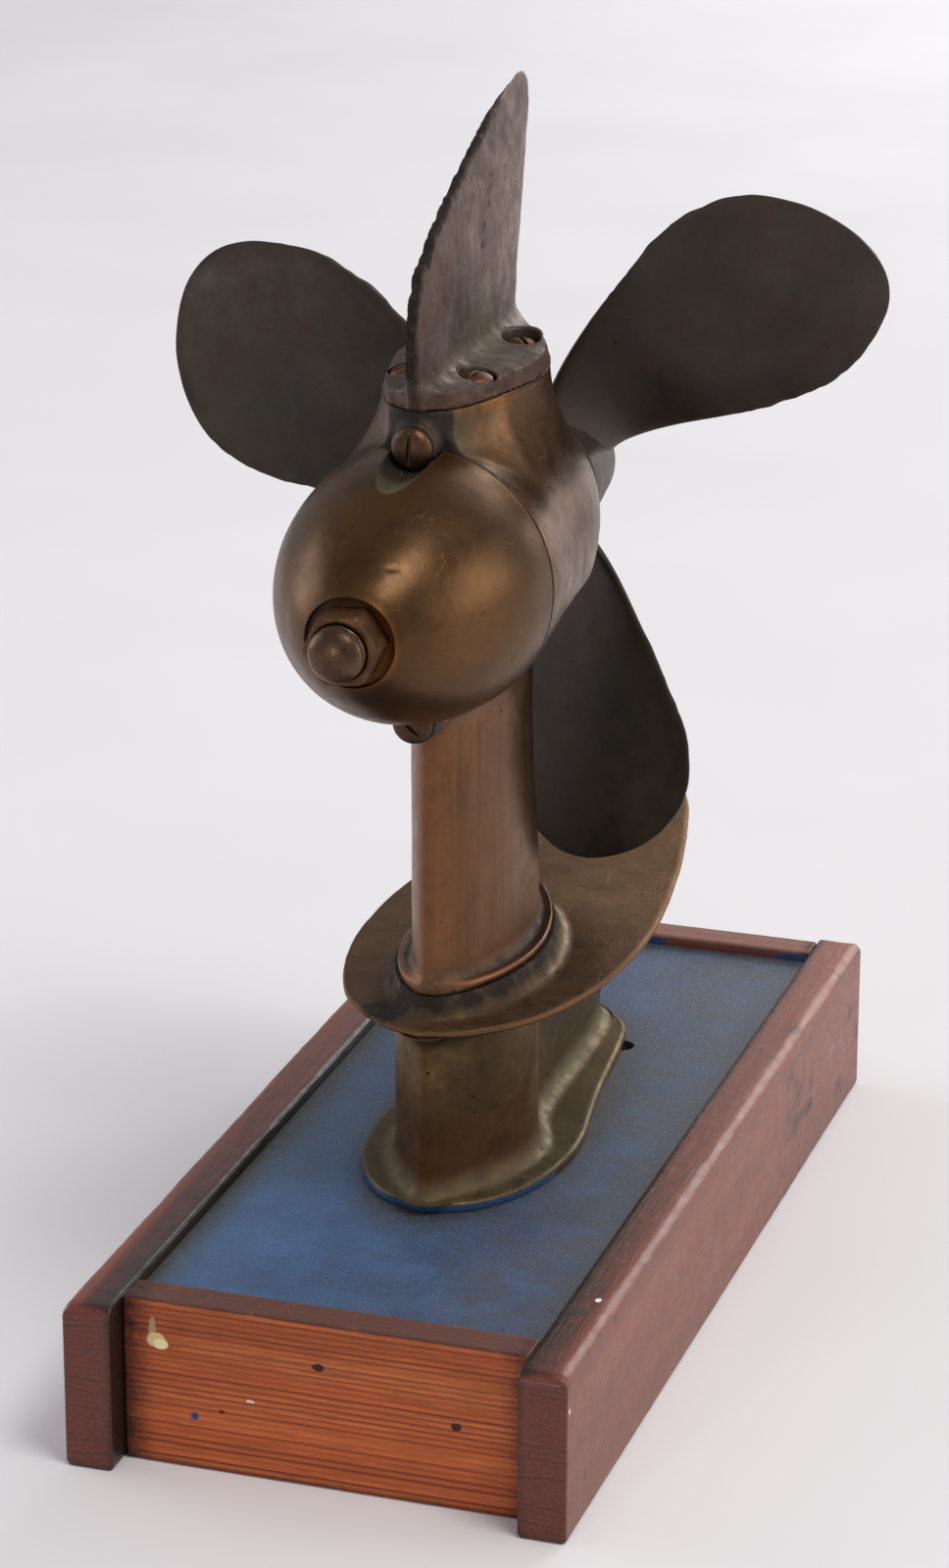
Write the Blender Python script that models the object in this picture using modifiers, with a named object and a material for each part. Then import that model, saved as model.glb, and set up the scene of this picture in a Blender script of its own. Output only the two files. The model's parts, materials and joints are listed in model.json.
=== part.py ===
"""An upside-down bronze drive leg with a three-blade propeller, mounted on a wooden plinth.

Units are metres. +X is to the right seen from the nose, +Y runs from the nose to the propeller, +Z is up.
The origin is on the floor under the middle of the plinth.
"""

import math

import bmesh
import bpy
import numpy as np
from mathutils import Matrix, Vector

# Plinth
plinth_width = 0.260
plinth_length = 0.585
plinth_height = 0.089
rail_thickness = 0.025
front_board_thickness = 0.021
front_board_inset = 0.017
rear_board_thickness = 0.019
rear_board_inset = 0.0055
panel_recess = 0.006
panel_thickness = 0.012
bearer_thickness = 0.030
bearer_places = {"front": -0.150, "middle": 0.0, "rear": 0.170}
timber_round = 0.003
board_round = 0.0015
opening_inset = 0.026
notch_place = (0.0355, 0.116)
notch_radius = 0.0075

# Clearances
gap = 0.0003
running_gap = 0.005

# Heights of the leg's joints
shaft_height = 0.424
plate_top = 0.187
plate_thickness = 0.005
pad_top = 0.199
boss_joint = 0.5115
cover_edge = 0.5195
tip_height = 0.647
neck_lean = 0.95
leg_aft_taper = 0.22

# Shaft line
nose_radius = 0.0685
seam_y = -0.125
gearcase_end = 0.047
spot_face_y = -0.2245
spot_face_radius = 0.0226
stud_radius = 0.0137
stud_dome = 0.009
stud_end_y = -0.2565
stud_root_y = -0.110
nut_across_flats = 0.033
nut_front_y = -0.2440
nut_turn_deg = -4.5
shaft_radius = 0.0125
shaft_front_y = 0.006
shaft_rear_y = 0.138
seal_radius = 0.024
seal_depth = 0.006

# Propeller
blade_count = 3
propeller_radius = 0.218
propeller_pitch = 0.295
propeller_y = 0.080
blade_root_radius = 0.030
blade_datum_deg = 40.3
hub_front = gearcase_end + running_gap
hub_rear = 0.108
hub_front_radius = 0.0365
hub_rear_radius = 0.031

# Screws and bolts
nose_screw_offset = 0.0705
nose_screw_seat_y = -0.136
nose_screw_head = 0.0100
nose_screw_rise = 0.0072
lug_radius = 0.0115
scallop_clearance = 0.0014
cover_screw_head = 0.0085
cover_screw_rise = 0.0050
screw_shank_radius = 0.0033
screw_hole_radius = 0.0036
slot_width = 0.0016
slot_depth = 0.0024
cover_screw_places = {"front_right": (0.0185, -0.092), "front_left": (-0.0185, -0.092),
                      "rear_right": (0.0185, -0.022), "rear_left": (-0.0185, -0.022)}
cover_pocket_floor = 0.516
pocket_clearance = 0.0012
ear_radius = 0.0128
ear_top = 0.5262
flange_bolt_places = {"front_right": (0.037, -0.068), "front_left": (-0.037, -0.068),
                      "rear_right": (0.031, 0.082), "rear_left": (-0.031, 0.082)}
flange_bolt_radius = 0.004

# Half outlines from front to rear, as (half width, y)
flange_outline = [(0.0, -0.127), (0.021, -0.1195), (0.0345, -0.107), (0.0445, -0.090), (0.052, -0.068),
                  (0.0555, -0.040), (0.0545, -0.015), (0.0505, 0.010), (0.046, 0.039), (0.042, 0.074),
                  (0.0385, 0.107), (0.033, 0.134), (0.019, 0.150), (0.0, 0.155)]
neck_outline = [(0.0, -0.1230), (0.0025, -0.1220), (0.010, -0.1135), (0.0185, -0.102), (0.026, -0.089),
                (0.0325, -0.072), (0.0362, -0.054), (0.0355, -0.038), (0.0305, -0.024), (0.0245, -0.008),
                (0.0215, 0.015), (0.0205, 0.060), (0.0195, 0.105), (0.0155, 0.136), (0.008, 0.147), (0.0, 0.150)]
plate_outline = [(0.0, -0.1325), (0.020, -0.126), (0.0385, -0.111), (0.054, -0.090), (0.066, -0.058),
                 (0.073, -0.025), (0.0755, 0.010), (0.075, 0.045), (0.071, 0.085), (0.064, 0.130),
                 (0.056, 0.171), (0.0455, 0.215), (0.036, 0.246), (0.0225, 0.274), (0.011, 0.285), (0.0, 0.288)]
leg_outline = [(0.0, -0.1125), (0.0034, -0.1120), (0.0090, -0.106), (0.0150, -0.095), (0.0205, -0.080),
               (0.0250, -0.062), (0.0275, -0.040), (0.0270, -0.020), (0.0235, 0.000), (0.0175, 0.018),
               (0.0105, 0.034), (0.0045, 0.043), (0.0, 0.045)]
foot_outline = [(0.0, -0.1140), (0.0060, -0.1125), (0.0170, -0.1020), (0.0250, -0.0880), (0.0310, -0.0720),
                (0.0350, -0.0520), (0.0355, -0.0300), (0.0325, -0.0080), (0.0265, 0.0140), (0.0180, 0.0340),
                (0.0090, 0.0480), (0.0, 0.0520)]
boss_outline = [(0.0, -0.1305), (0.009, -0.1290), (0.0165, -0.1240), (0.0230, -0.1125), (0.0280, -0.099),
                (0.0335, -0.080), (0.0375, -0.060), (0.0380, -0.042), (0.0345, -0.023), (0.0285, -0.008),
                (0.0210, 0.006), (0.0125, 0.0175), (0.0055, 0.0245), (0.0, 0.0265)]

# Outer profiles on the shaft axis, as (y, radius)
nose_profile = [(-0.2287, 0.0229), (-0.224, 0.0278), (-0.218, 0.0328), (-0.210, 0.0383), (-0.200, 0.0445),
                (-0.190, 0.0500), (-0.180, 0.0548), (-0.170, 0.0587), (-0.160, 0.0620), (-0.150, 0.0647),
                (-0.140, 0.0665), (-0.130, 0.0680), (seam_y - gap / 2.0, nose_radius)]
gearcase_profile = [(seam_y + gap / 2.0, nose_radius), (-0.110, 0.0680), (-0.095, 0.0662), (-0.080, 0.0640),
                    (-0.062, 0.0622), (-0.045, 0.0612), (-0.030, 0.0600), (-0.015, 0.0577), (0.0, 0.0542),
                    (0.015, 0.0497), (0.030, 0.0446), (0.040, 0.0408), (gearcase_end, 0.0378)]

# Side outline of the fin from its front root over the tip to its rear root, as (y, z)
fin_outline = [(-0.116, 0.512), (-0.124, 0.521), (-0.133, 0.537), (-0.138, 0.551), (-0.137, 0.561),
               (-0.129, 0.5755), (-0.115, 0.5885), (-0.099, 0.5975), (-0.077, 0.6085), (-0.055, 0.619),
               (-0.032, 0.629), (-0.009, 0.6365), (0.013, 0.643), (0.030, tip_height), (0.042, 0.643),
               (0.047, 0.632), (0.0455, 0.618), (0.038, 0.590), (0.0305, 0.5615), (0.025, 0.5375),
               (0.0235, 0.520), (0.0235, 0.512)]

loop_points = 22
round_steps = 48

part_collection = None
cutter_collection = None


def clear_scene():
    """Empty the scene, and make the collections for the pieces and for the cutters."""
    global part_collection, cutter_collection
    for old in list(bpy.data.objects):
        bpy.data.objects.remove(old, do_unlink=True)
    part_collection = bpy.data.collections.new("mounted_propeller")
    cutter_collection = bpy.data.collections.new("cutters")
    bpy.context.scene.collection.children.link(part_collection)
    bpy.context.scene.collection.children.link(cutter_collection)


def make_material(name, colour, roughness, metallic):
    """A plain surface with the finish's colour, roughness and metallic value."""
    material = bpy.data.materials.new(name)
    material.use_nodes = True
    shader = material.node_tree.nodes["Principled BSDF"]
    shader.inputs["Base Color"].default_value = (*colour, 1.0)
    shader.inputs["Roughness"].default_value = roughness
    shader.inputs["Metallic"].default_value = metallic
    return material


def add_object(name, mesh, finish=None, cutter=False):
    """Put a mesh in the scene as a piece with its own material, or as a hidden cutter."""
    piece = bpy.data.objects.new(name, mesh)
    if cutter:
        cutter_collection.objects.link(piece)
        piece.hide_render = True
        piece.display_type = "WIRE"
    else:
        part_collection.objects.link(piece)
        piece.data.materials.append(make_material(name, *finish))
    return piece


def mesh_from_bmesh(name, shape):
    """Turn a bmesh into mesh data."""
    mesh = bpy.data.meshes.new(name)
    shape.to_mesh(mesh)
    shape.free()
    return mesh


def box_mesh(name, low, high):
    """A box between two corners."""
    low, high = Vector(low), Vector(high)
    shape = bmesh.new()
    bmesh.ops.create_cube(shape, size=1.0)
    bmesh.ops.scale(shape, vec=high - low, verts=shape.verts)
    bmesh.ops.translate(shape, vec=(low + high) / 2.0, verts=shape.verts)
    return mesh_from_bmesh(name, shape)


def cylinder_mesh(name, radius, low, high, steps, axis="Z", centre=(0.0, 0.0)):
    """A cylinder, or a prism with few steps, between two places on an axis along Y or Z."""
    shape = bmesh.new()
    bmesh.ops.create_cone(shape, cap_ends=True, segments=steps, radius1=radius, radius2=radius, depth=high - low)
    middle = (low + high) / 2.0
    if axis == "Y":
        bmesh.ops.rotate(shape, matrix=Matrix.Rotation(-math.pi / 2.0, 3, "X"), verts=shape.verts)
        bmesh.ops.translate(shape, vec=(centre[0], middle, centre[1]), verts=shape.verts)
    else:
        bmesh.ops.translate(shape, vec=(centre[0], centre[1], middle), verts=shape.verts)
    return mesh_from_bmesh(name, shape)


def add_turned(name, profile, steps, finish=None, cutter=False):
    """A turned piece. The profile is (radius, height) from its top, down its outer side, to its bottom."""
    mesh = bpy.data.meshes.new(name)
    points = [(radius, 0.0, height) for radius, height in profile]
    mesh.from_pydata(points, [(i, i + 1) for i in range(len(points) - 1)], [])
    piece = add_object(name, mesh, finish, cutter)
    screw = piece.modifiers.new("Turn", "SCREW")
    screw.axis = "Z"
    screw.steps = steps
    screw.render_steps = steps
    screw.use_merge_vertices = True
    screw.merge_threshold = 0.00001
    return piece


def on_shaft_axis(piece):
    """Turn a piece made about Z so that its height runs along the shaft, towards the propeller."""
    piece.rotation_euler = (-math.pi / 2.0, 0.0, 0.0)
    piece.location = (0.0, 0.0, shaft_height)
    return piece


def boolean(piece, other, operation):
    """Cut another object from a piece, or join it on."""
    modifier = piece.modifiers.new(other.name, "BOOLEAN")
    modifier.operation = operation
    modifier.solver = "EXACT"
    modifier.object = other


def bevel(piece, width, segments=2):
    """Round the sharp edges of a piece."""
    modifier = piece.modifiers.new("Round", "BEVEL")
    modifier.width = width
    modifier.segments = segments
    modifier.limit_method = "ANGLE"


def smooth_curve(points, samples):
    """A smooth curve through points, at even steps of its length."""
    points = np.array(points, float)
    ends = np.vstack([2 * points[0] - points[1], points, 2 * points[-1] - points[-2]])
    t = np.linspace(0.0, 1.0, 12, endpoint=False)[:, None]
    stretches = []
    for a, b, c, d in zip(ends[:-3], ends[1:-2], ends[2:-1], ends[3:]):
        stretches.append(0.5 * (2 * b + (c - a) * t + (2 * a - 5 * b + 4 * c - d) * t ** 2
                                + (3 * b - a - 3 * c + d) * t ** 3))
    fine = np.vstack(stretches + [points[-1:]])
    length = np.concatenate([[0.0], np.cumsum(np.linalg.norm(np.diff(fine, axis=0), axis=1))])
    even = np.linspace(0.0, length[-1], samples)
    return np.column_stack([np.interp(even, length, fine[:, k]) for k in range(fine.shape[1])])


def half_loop(outline, offset=0.0, samples=loop_points):
    """The right half of an outline, pushed out by an offset, from its front point to its rear point."""
    fine = smooth_curve(outline, samples)
    around = np.vstack([fine[1] * (-1, 1), fine, fine[-2] * (-1, 1)])
    tangent = around[2:] - around[:-2]
    normal = np.column_stack([tangent[:, 1], -tangent[:, 0]])
    normal /= np.linalg.norm(normal, axis=1)[:, None]
    half = fine + normal * offset
    half[[0, -1], 0] = 0.0
    half[1:-1, 0] = np.maximum(half[1:-1, 0], 0.0004)
    return half


def ring(half, height):
    """A closed ring at a height from the right half of an outline, right side first."""
    left = half[-2:0:-1] * (-1, 1)
    flat = np.vstack([half, left])
    return np.column_stack([flat, np.full(len(flat), height)])


def loft_mesh(name, rings):
    """Join closed rings of equal counts into a solid, with a flat cap on the first and the last."""
    count = len(rings[0])
    faces = []
    for level in range(len(rings) - 1):
        low, high = level * count, (level + 1) * count
        for k in range(count):
            after = (k + 1) % count
            faces.append((low + k, low + after, high + after, high + k))
    faces.append(tuple(range(count - 1, -1, -1)))
    top = (len(rings) - 1) * count
    faces.append(tuple(range(top, top + count)))
    mesh = bpy.data.meshes.new(name)
    mesh.from_pydata([tuple(point) for point in np.vstack(rings)], [], faces)
    shape = bmesh.new()
    shape.from_mesh(mesh)
    bmesh.ops.recalc_face_normals(shape, faces=shape.faces)
    shape.to_mesh(mesh)
    shape.free()
    return mesh


def shade(piece, angle=35.0):
    """Shade a round piece smooth, but for its sharp edges."""
    piece.data.shade_smooth()
    piece.data.set_sharp_from_angle(angle=math.radians(angle))


bronze = ((0.20, 0.13, 0.065), 0.38, 1.0)
dark_bronze = ((0.075, 0.06, 0.045), 0.45, 1.0)
golden_bronze = ((0.27, 0.15, 0.07), 0.38, 1.0)
grey_bronze = ((0.16, 0.13, 0.11), 0.42, 1.0)
steel = ((0.35, 0.34, 0.32), 0.40, 1.0)
varnished_pine = ((0.22, 0.06, 0.03), 0.30, 0.0)
pitch_pine = ((0.38, 0.12, 0.04), 0.40, 0.0)
raw_pine = ((0.55, 0.40, 0.24), 0.70, 0.0)
blue_paint = ((0.05, 0.11, 0.24), 0.45, 0.0)
black_rubber = ((0.03, 0.03, 0.03), 0.60, 0.0)

rail_inner_x = plinth_width / 2.0 - rail_thickness
front_board_y = -plinth_length / 2.0 + front_board_inset
rear_board_y = plinth_length / 2.0 - rear_board_inset
panel_top = plinth_height - panel_recess
panel_bottom = panel_top - panel_thickness
panel_front = front_board_y + front_board_thickness
panel_rear = rear_board_y - rear_board_thickness
flange_bottom = panel_top + gap
flange_top = panel_top + 0.006


def add_timber(name, low, high, finish, width=timber_round):
    """A plinth timber with its edges rounded."""
    piece = add_object(name, box_mesh(name, low, high), finish)
    bevel(piece, width, 3)
    return piece


def make_plinth():
    """Rails, end boards, bearers and the top panel."""
    half = plinth_width / 2.0
    end = plinth_length / 2.0
    between = rail_inner_x - gap
    add_timber("plinth_rail_right", (rail_inner_x, -end, 0.0), (half, end, plinth_height), varnished_pine)
    add_timber("plinth_rail_left", (-half, -end, 0.0), (-rail_inner_x, end, plinth_height), varnished_pine)
    add_timber("plinth_end_board_front", (-between, front_board_y, 0.0),
               (between, front_board_y + front_board_thickness, plinth_height), pitch_pine, board_round)
    add_timber("plinth_end_board_rear", (-between, rear_board_y - rear_board_thickness, 0.0),
               (between, rear_board_y, plinth_height), varnished_pine, board_round)
    for place, y in bearer_places.items():
        name = "plinth_bearer_" + place
        add_object(name, box_mesh(name, (-between, y - bearer_thickness / 2.0, 0.0),
                                  (between, y + bearer_thickness / 2.0, panel_bottom - gap)), raw_pine)
    make_panel(between)


def make_panel(between):
    """The top panel, with bolt holes and an opening under the flange that shows at one corner."""
    panel = add_object("plinth_top_panel", box_mesh("plinth_top_panel", (-between, panel_front + gap, panel_bottom),
                                                    (between, panel_rear - gap, panel_top)), blue_paint)
    opening_half = half_loop(flange_outline, -opening_inset, 12)
    opening = loft_mesh("panel_opening", [ring(opening_half, panel_bottom - 0.002),
                                          ring(opening_half, panel_top + 0.002)])
    boolean(panel, add_object("panel_opening", opening, cutter=True), "DIFFERENCE")
    notch = cylinder_mesh("panel_notch", notch_radius, panel_bottom - 0.002, panel_top + 0.002, 20, centre=notch_place)
    boolean(panel, add_object("panel_notch", notch, cutter=True), "DIFFERENCE")
    for place, (x, y) in flange_bolt_places.items():
        hole = cylinder_mesh("panel_hole_" + place, flange_bolt_radius + gap, panel_bottom - 0.002,
                             panel_top + 0.002, 16, centre=(x, y))
        boolean(panel, add_object("panel_hole_" + place, hole, cutter=True), "DIFFERENCE")


def neck_half(height, offset):
    """The neck's half section, whose rear edge leans back under the plate as it rises."""
    lean = neck_lean * max(0.0, height - 0.092)
    outline = [(x, y + lean * max(0.0, y - 0.015) / 0.135) for x, y in neck_outline]
    return half_loop(outline, offset)


def make_lower_casting():
    """The base flange, neck and plate in one casting."""
    under = plate_top - plate_thickness
    rings = [ring(half_loop(flange_outline, -0.0008), flange_bottom),
             ring(half_loop(flange_outline), flange_bottom + 0.0008),
             ring(half_loop(flange_outline), flange_top - 0.0015),
             ring(half_loop(flange_outline, -0.0015), flange_top)]
    for height, offset in ((0.0905, 0.010), (0.0935, 0.0048), (0.098, 0.0018), (0.105, 0.0), (0.125, 0.0),
                           (0.150, 0.0), (0.168, 0.0005), (0.175, 0.0022), (0.179, 0.0052), (0.1812, 0.010)):
        rings.append(ring(neck_half(height, offset), height))
    rings += [ring(half_loop(plate_outline, -0.0025), under),
              ring(half_loop(plate_outline, -0.0004), under + 0.0012),
              ring(half_loop(plate_outline), plate_top - 0.0018),
              ring(half_loop(plate_outline, -0.0015), plate_top)]
    for height, offset in ((0.1878, 0.015), (0.1905, 0.009), (0.1955, 0.0045), (0.1985, 0.0028), (pad_top, 0.0022)):
        rings.append(ring(half_loop(foot_outline, offset), height))
    piece = add_object("flange_neck_and_plate", loft_mesh("flange_neck_and_plate", rings), bronze)
    for place, (x, y) in flange_bolt_places.items():
        hole = cylinder_mesh("flange_hole_" + place, flange_bolt_radius + gap, flange_bottom - 0.002,
                             flange_bottom + 0.0038, 16, centre=(x, y))
        boolean(piece, add_object("flange_hole_" + place, hole, cutter=True), "DIFFERENCE")
    shade(piece)


def leg_half(outline, height, offset):
    """The leg's half section, whose rear part grows thinner from the foot upwards."""
    rise = min(1.0, max(0.0, (height - 0.205) / 0.115))
    half = half_loop(outline, offset)
    half[:, 0] *= 1.0 - leg_aft_taper * rise * np.clip((half[:, 1] + 0.070) / 0.080, 0.0, 1.0)
    return half


def make_leg_casting():
    """The gearcase, turned, with the leg, the boss and the two screw lugs joined on."""
    profile = [(0.0, gearcase_profile[-1][0])]
    profile += [(radius, y) for y, radius in reversed(gearcase_profile)]
    profile += [(0.0, gearcase_profile[0][0])]
    casting = on_shaft_axis(add_turned("leg_and_gearcase", profile, round_steps, golden_bronze))

    foot = pad_top + gap
    levels = [(foot, foot_outline, -0.0008), (foot + 0.0008, foot_outline, 0.0), (foot + 0.0035, foot_outline, 0.0),
              (foot + 0.0045, foot_outline, -0.0012), (foot + 0.0040, leg_outline, 0.0030),
              (foot + 0.0065, leg_outline, 0.0010), (0.215, leg_outline, 0.0), (0.250, leg_outline, -0.0002),
              (0.290, leg_outline, -0.0010), (0.320, leg_outline, -0.0014), (0.345, leg_outline, 0.0005),
              (0.360, leg_outline, 0.0040), (0.372, leg_outline, 0.0090), (0.385, leg_outline, 0.0130)]
    rings = []
    for height, outline, offset in levels:
        half = leg_half(outline, height, offset)
        half[:, 1] = np.maximum(half[:, 1], seam_y + 0.004)
        half[:, 1] = np.minimum(half[:, 1], gearcase_end - 0.001 if height > foot + 0.004 else 1.0)
        rings.append(ring(half, height))
    leg = add_object("leg_form", loft_mesh("leg_form", rings), cutter=True)
    boolean(casting, leg, "UNION")

    levels = [(0.430, 0.0225, -0.104), (0.445, 0.0205, -0.108), (0.455, 0.0180, -0.112), (0.468, 0.0125, -0.118),
              (0.476, 0.0090, -0.1205), (0.484, 0.0056, -0.122), (0.4915, 0.0031, -0.1235),
              (0.4945, 0.0022, -0.1262), (0.503, 0.0006, -0.1295), (boss_joint, 0.0, -0.1305)]
    rings = []
    for height, offset, front in levels:
        half = half_loop(boss_outline, offset)
        half[:, 1] = np.clip(half[:, 1], front, gearcase_end - 0.006)
        rings.append(ring(half, height))
    boss = add_object("boss_form", loft_mesh("boss_form", rings), cutter=True)
    boolean(casting, boss, "UNION")

    for place, side in (("top", 1.0), ("bottom", -1.0)):
        height = shaft_height + side * nose_screw_offset
        lug = cylinder_mesh("lug_" + place, lug_radius, nose_screw_seat_y + gap, -0.100, 24, "Y", (0.0, height))
        boolean(casting, add_object("lug_" + place, lug, cutter=True), "UNION")
        hole = cylinder_mesh("lug_hole_" + place, screw_hole_radius, -0.140, -0.118, 16, "Y", (0.0, height))
        boolean(casting, add_object("lug_hole_" + place, hole, cutter=True), "DIFFERENCE")

    bores = {"stud_bore": (stud_radius + gap, -0.130, stud_root_y + gap),
             "shaft_bore": (shaft_radius + 2.0 * gap, shaft_front_y - 0.001, gearcase_end + 0.005),
             "seal_recess": (seal_radius + gap, gearcase_end - seal_depth, gearcase_end + 0.005)}
    for name, (radius, low, high) in bores.items():
        bore = cylinder_mesh(name, radius, low, high, 32, "Y", (0.0, shaft_height))
        boolean(casting, add_object(name, bore, cutter=True), "DIFFERENCE")
    for place, (x, y) in cover_screw_places.items():
        hole = cylinder_mesh("boss_hole_" + place, screw_hole_radius, 0.498, boss_joint + 0.002, 16, centre=(x, y))
        boolean(casting, add_object("boss_hole_" + place, hole, cutter=True), "DIFFERENCE")
    shade(casting)


def make_nose():
    """The nose cone with its spot face, stud bore and the scallops for the two screws."""
    back = nose_profile[-1][0]
    bore = stud_radius + gap
    profile = [(bore, back)] + [(radius, y) for y, radius in reversed(nose_profile)]
    profile += [(spot_face_radius, spot_face_y), (bore, spot_face_y), (bore, back)]
    nose = on_shaft_axis(add_turned("nose_cone", profile, round_steps, bronze))
    for place, side in (("top", 1.0), ("bottom", -1.0)):
        height = shaft_height + side * (nose_screw_offset + 0.0012)
        scallop = cylinder_mesh("scallop_" + place, lug_radius + scallop_clearance, -0.190, -0.120, 24, "Y",
                                (0.0, height))
        boolean(nose, add_object("scallop_" + place, scallop, cutter=True), "DIFFERENCE")
    shade(nose)


def make_nut(name, low, high, bore_radius, finish):
    """A hexagon nut on the shaft axis with a plain bore and softened corners, one flat facing nearly up."""
    corner = nut_across_flats / math.sqrt(3.0)
    nut = add_object(name, cylinder_mesh(name, corner, low, high, 6, "Y"), finish)
    nut.location = (0.0, 0.0, shaft_height)
    nut.rotation_euler = (0.0, math.radians(30.0 + nut_turn_deg), 0.0)
    bevel(nut, 0.0009, 2)
    bore = cylinder_mesh(name + "_bore", bore_radius, low - 0.002, high + 0.002, 32, "Y", (0.0, shaft_height))
    boolean(nut, add_object(name + "_bore", bore, cutter=True), "DIFFERENCE")
    return nut


def make_nose_fastening():
    """The stud with its domed end, and its nut in the spot face."""
    dome = [(stud_radius * math.cos(a), stud_end_y + stud_dome * (1.0 - math.sin(a)))
            for a in np.linspace(0.0, math.pi / 2.0, 7)]
    profile = [(0.0, stud_root_y), (stud_radius, stud_root_y)] + dome[:-1] + [(0.0, stud_end_y)]
    stud = on_shaft_axis(add_turned("nose_stud", profile, 32, grey_bronze))
    shade(stud)
    make_nut("nose_nut", nut_front_y, spot_face_y - gap, stud_radius + gap, golden_bronze)


def make_slotted_screw(name, head_radius, head_height, shank_length, place, turn, finish):
    """A round-headed slotted screw whose head stands on its seat at the place given."""
    dome = [(head_radius * math.cos(a), 0.0012 + (head_height - 0.0012) * math.sin(a))
            for a in np.linspace(math.pi / 2.0, 0.0, 5)]
    profile = [(0.0, head_height)] + dome[1:]
    profile += [(head_radius, gap), (screw_shank_radius, gap), (screw_shank_radius, -shank_length),
                (0.0, -shank_length)]
    screw = add_turned(name, profile, 24, finish)
    screw.matrix_world = place @ Matrix.Rotation(turn, 4, "Z")
    slot = add_object(name + "_slot", box_mesh(name + "_slot", (-0.012, -slot_width / 2.0, head_height - slot_depth),
                                               (0.012, slot_width / 2.0, head_height + 0.002)), cutter=True)
    slot.matrix_world = screw.matrix_world
    boolean(screw, slot, "DIFFERENCE")
    shade(screw)


def make_nose_screws():
    """The two screws that face forward beside the nose cone."""
    facing_front = Matrix.Rotation(math.pi / 2.0, 4, "X")
    for place, side, turn in (("top", 1.0, math.radians(80.0)), ("bottom", -1.0, math.radians(40.0))):
        seat = Matrix.Translation((0.0, nose_screw_seat_y, shaft_height + side * nose_screw_offset))
        make_slotted_screw("nose_screw_" + place, nose_screw_head, nose_screw_rise, 0.012, seat @ facing_front,
                           turn, bronze)


def make_skeg_cover():
    """The cover's flange with the worn fin on it and four screw pockets, the rear two in raised ears."""
    base = boss_joint + gap
    rings = []
    for height, offset in ((base, 0.0), (0.5165, -0.0004), (cover_edge, -0.0010), (0.5212, -0.0050),
                           (0.5226, -0.0105), (0.5234, -0.0150)):
        rings.append(ring(half_loop(boss_outline, offset), height))
    cover = add_object("skeg_cover", loft_mesh("skeg_cover", rings), grey_bronze)
    boolean(cover, add_object("fin_form", fin_mesh(), cutter=True), "UNION")
    for place, (x, y) in cover_screw_places.items():
        if place.startswith("rear"):
            ear = cylinder_mesh("ear_" + place, ear_radius, base + 0.002, ear_top, 28, centre=(x, y))
            boolean(cover, add_object("ear_" + place, ear, cutter=True), "UNION")
    for place, (x, y) in cover_screw_places.items():
        pocket = cylinder_mesh("pocket_" + place, cover_screw_head + pocket_clearance, cover_pocket_floor, 0.545, 20,
                               centre=(x, y))
        boolean(cover, add_object("pocket_" + place, pocket, cutter=True), "DIFFERENCE")
        hole = cylinder_mesh("cover_hole_" + place, screw_hole_radius, base - 0.002, cover_pocket_floor + 0.002, 16,
                             centre=(x, y))
        boolean(cover, add_object("cover_hole_" + place, hole, cutter=True), "DIFFERENCE")
    shade(cover)


def fin_mesh():
    """The fin as level sections between its front and rear edges, thick at the root and thin at the tip."""
    edge = smooth_curve(fin_outline, 400)
    tip = int(np.argmax(edge[:, 1]))
    front, rear = edge[:tip + 1], edge[tip:][::-1]
    rings = []
    for height in list(np.linspace(0.514, tip_height - 0.0045, 14)) + [tip_height - 0.0004]:
        start = np.interp(height, front[:, 1], front[:, 0])
        end = np.interp(height, rear[:, 1], rear[:, 0])
        rise = (height - 0.514) / (tip_height - 0.514)
        thick = 0.0060 * (1.0 - rise) + 0.0028 * rise + 0.0070 * math.exp(-(height - 0.514) / 0.010)
        along = np.array([0.0, 0.0, 0.12, 0.3, 0.5, 0.7, 0.88, 1.0])
        swell = np.array([0.0, 0.55, 0.85, 1.0, 0.95, 0.75, 0.42, 0.0])
        half = np.column_stack([thick * swell, start + (end - start) * along])
        rings.append(ring(half, height))
    return loft_mesh("fin_form", rings)


def make_cover_screws():
    """The four slotted screws in the cover's pockets."""
    turns = {"front_right": 1.45, "front_left": 0.6, "rear_right": 2.3, "rear_left": 1.0}
    for place, (x, y) in cover_screw_places.items():
        seat = Matrix.Translation((x, y, cover_pocket_floor))
        make_slotted_screw("skeg_screw_" + place, cover_screw_head, cover_screw_rise, 0.014, seat, turns[place],
                           bronze)


def blade_edge(part):
    """Radius and distance round the helix of a blade's edge, for part 0 to 1 from rear root over tip to front root."""
    turns = np.pi * part
    radius = blade_root_radius + (propeller_radius - blade_root_radius) * np.sin(turns)
    waves = (0.0239, 0.0610, -0.0227, -0.0223, 0.0001, -0.0028, -0.0031)
    around = sum(size * np.cos(k * turns) for k, size in enumerate(waves))
    return radius, around


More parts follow.
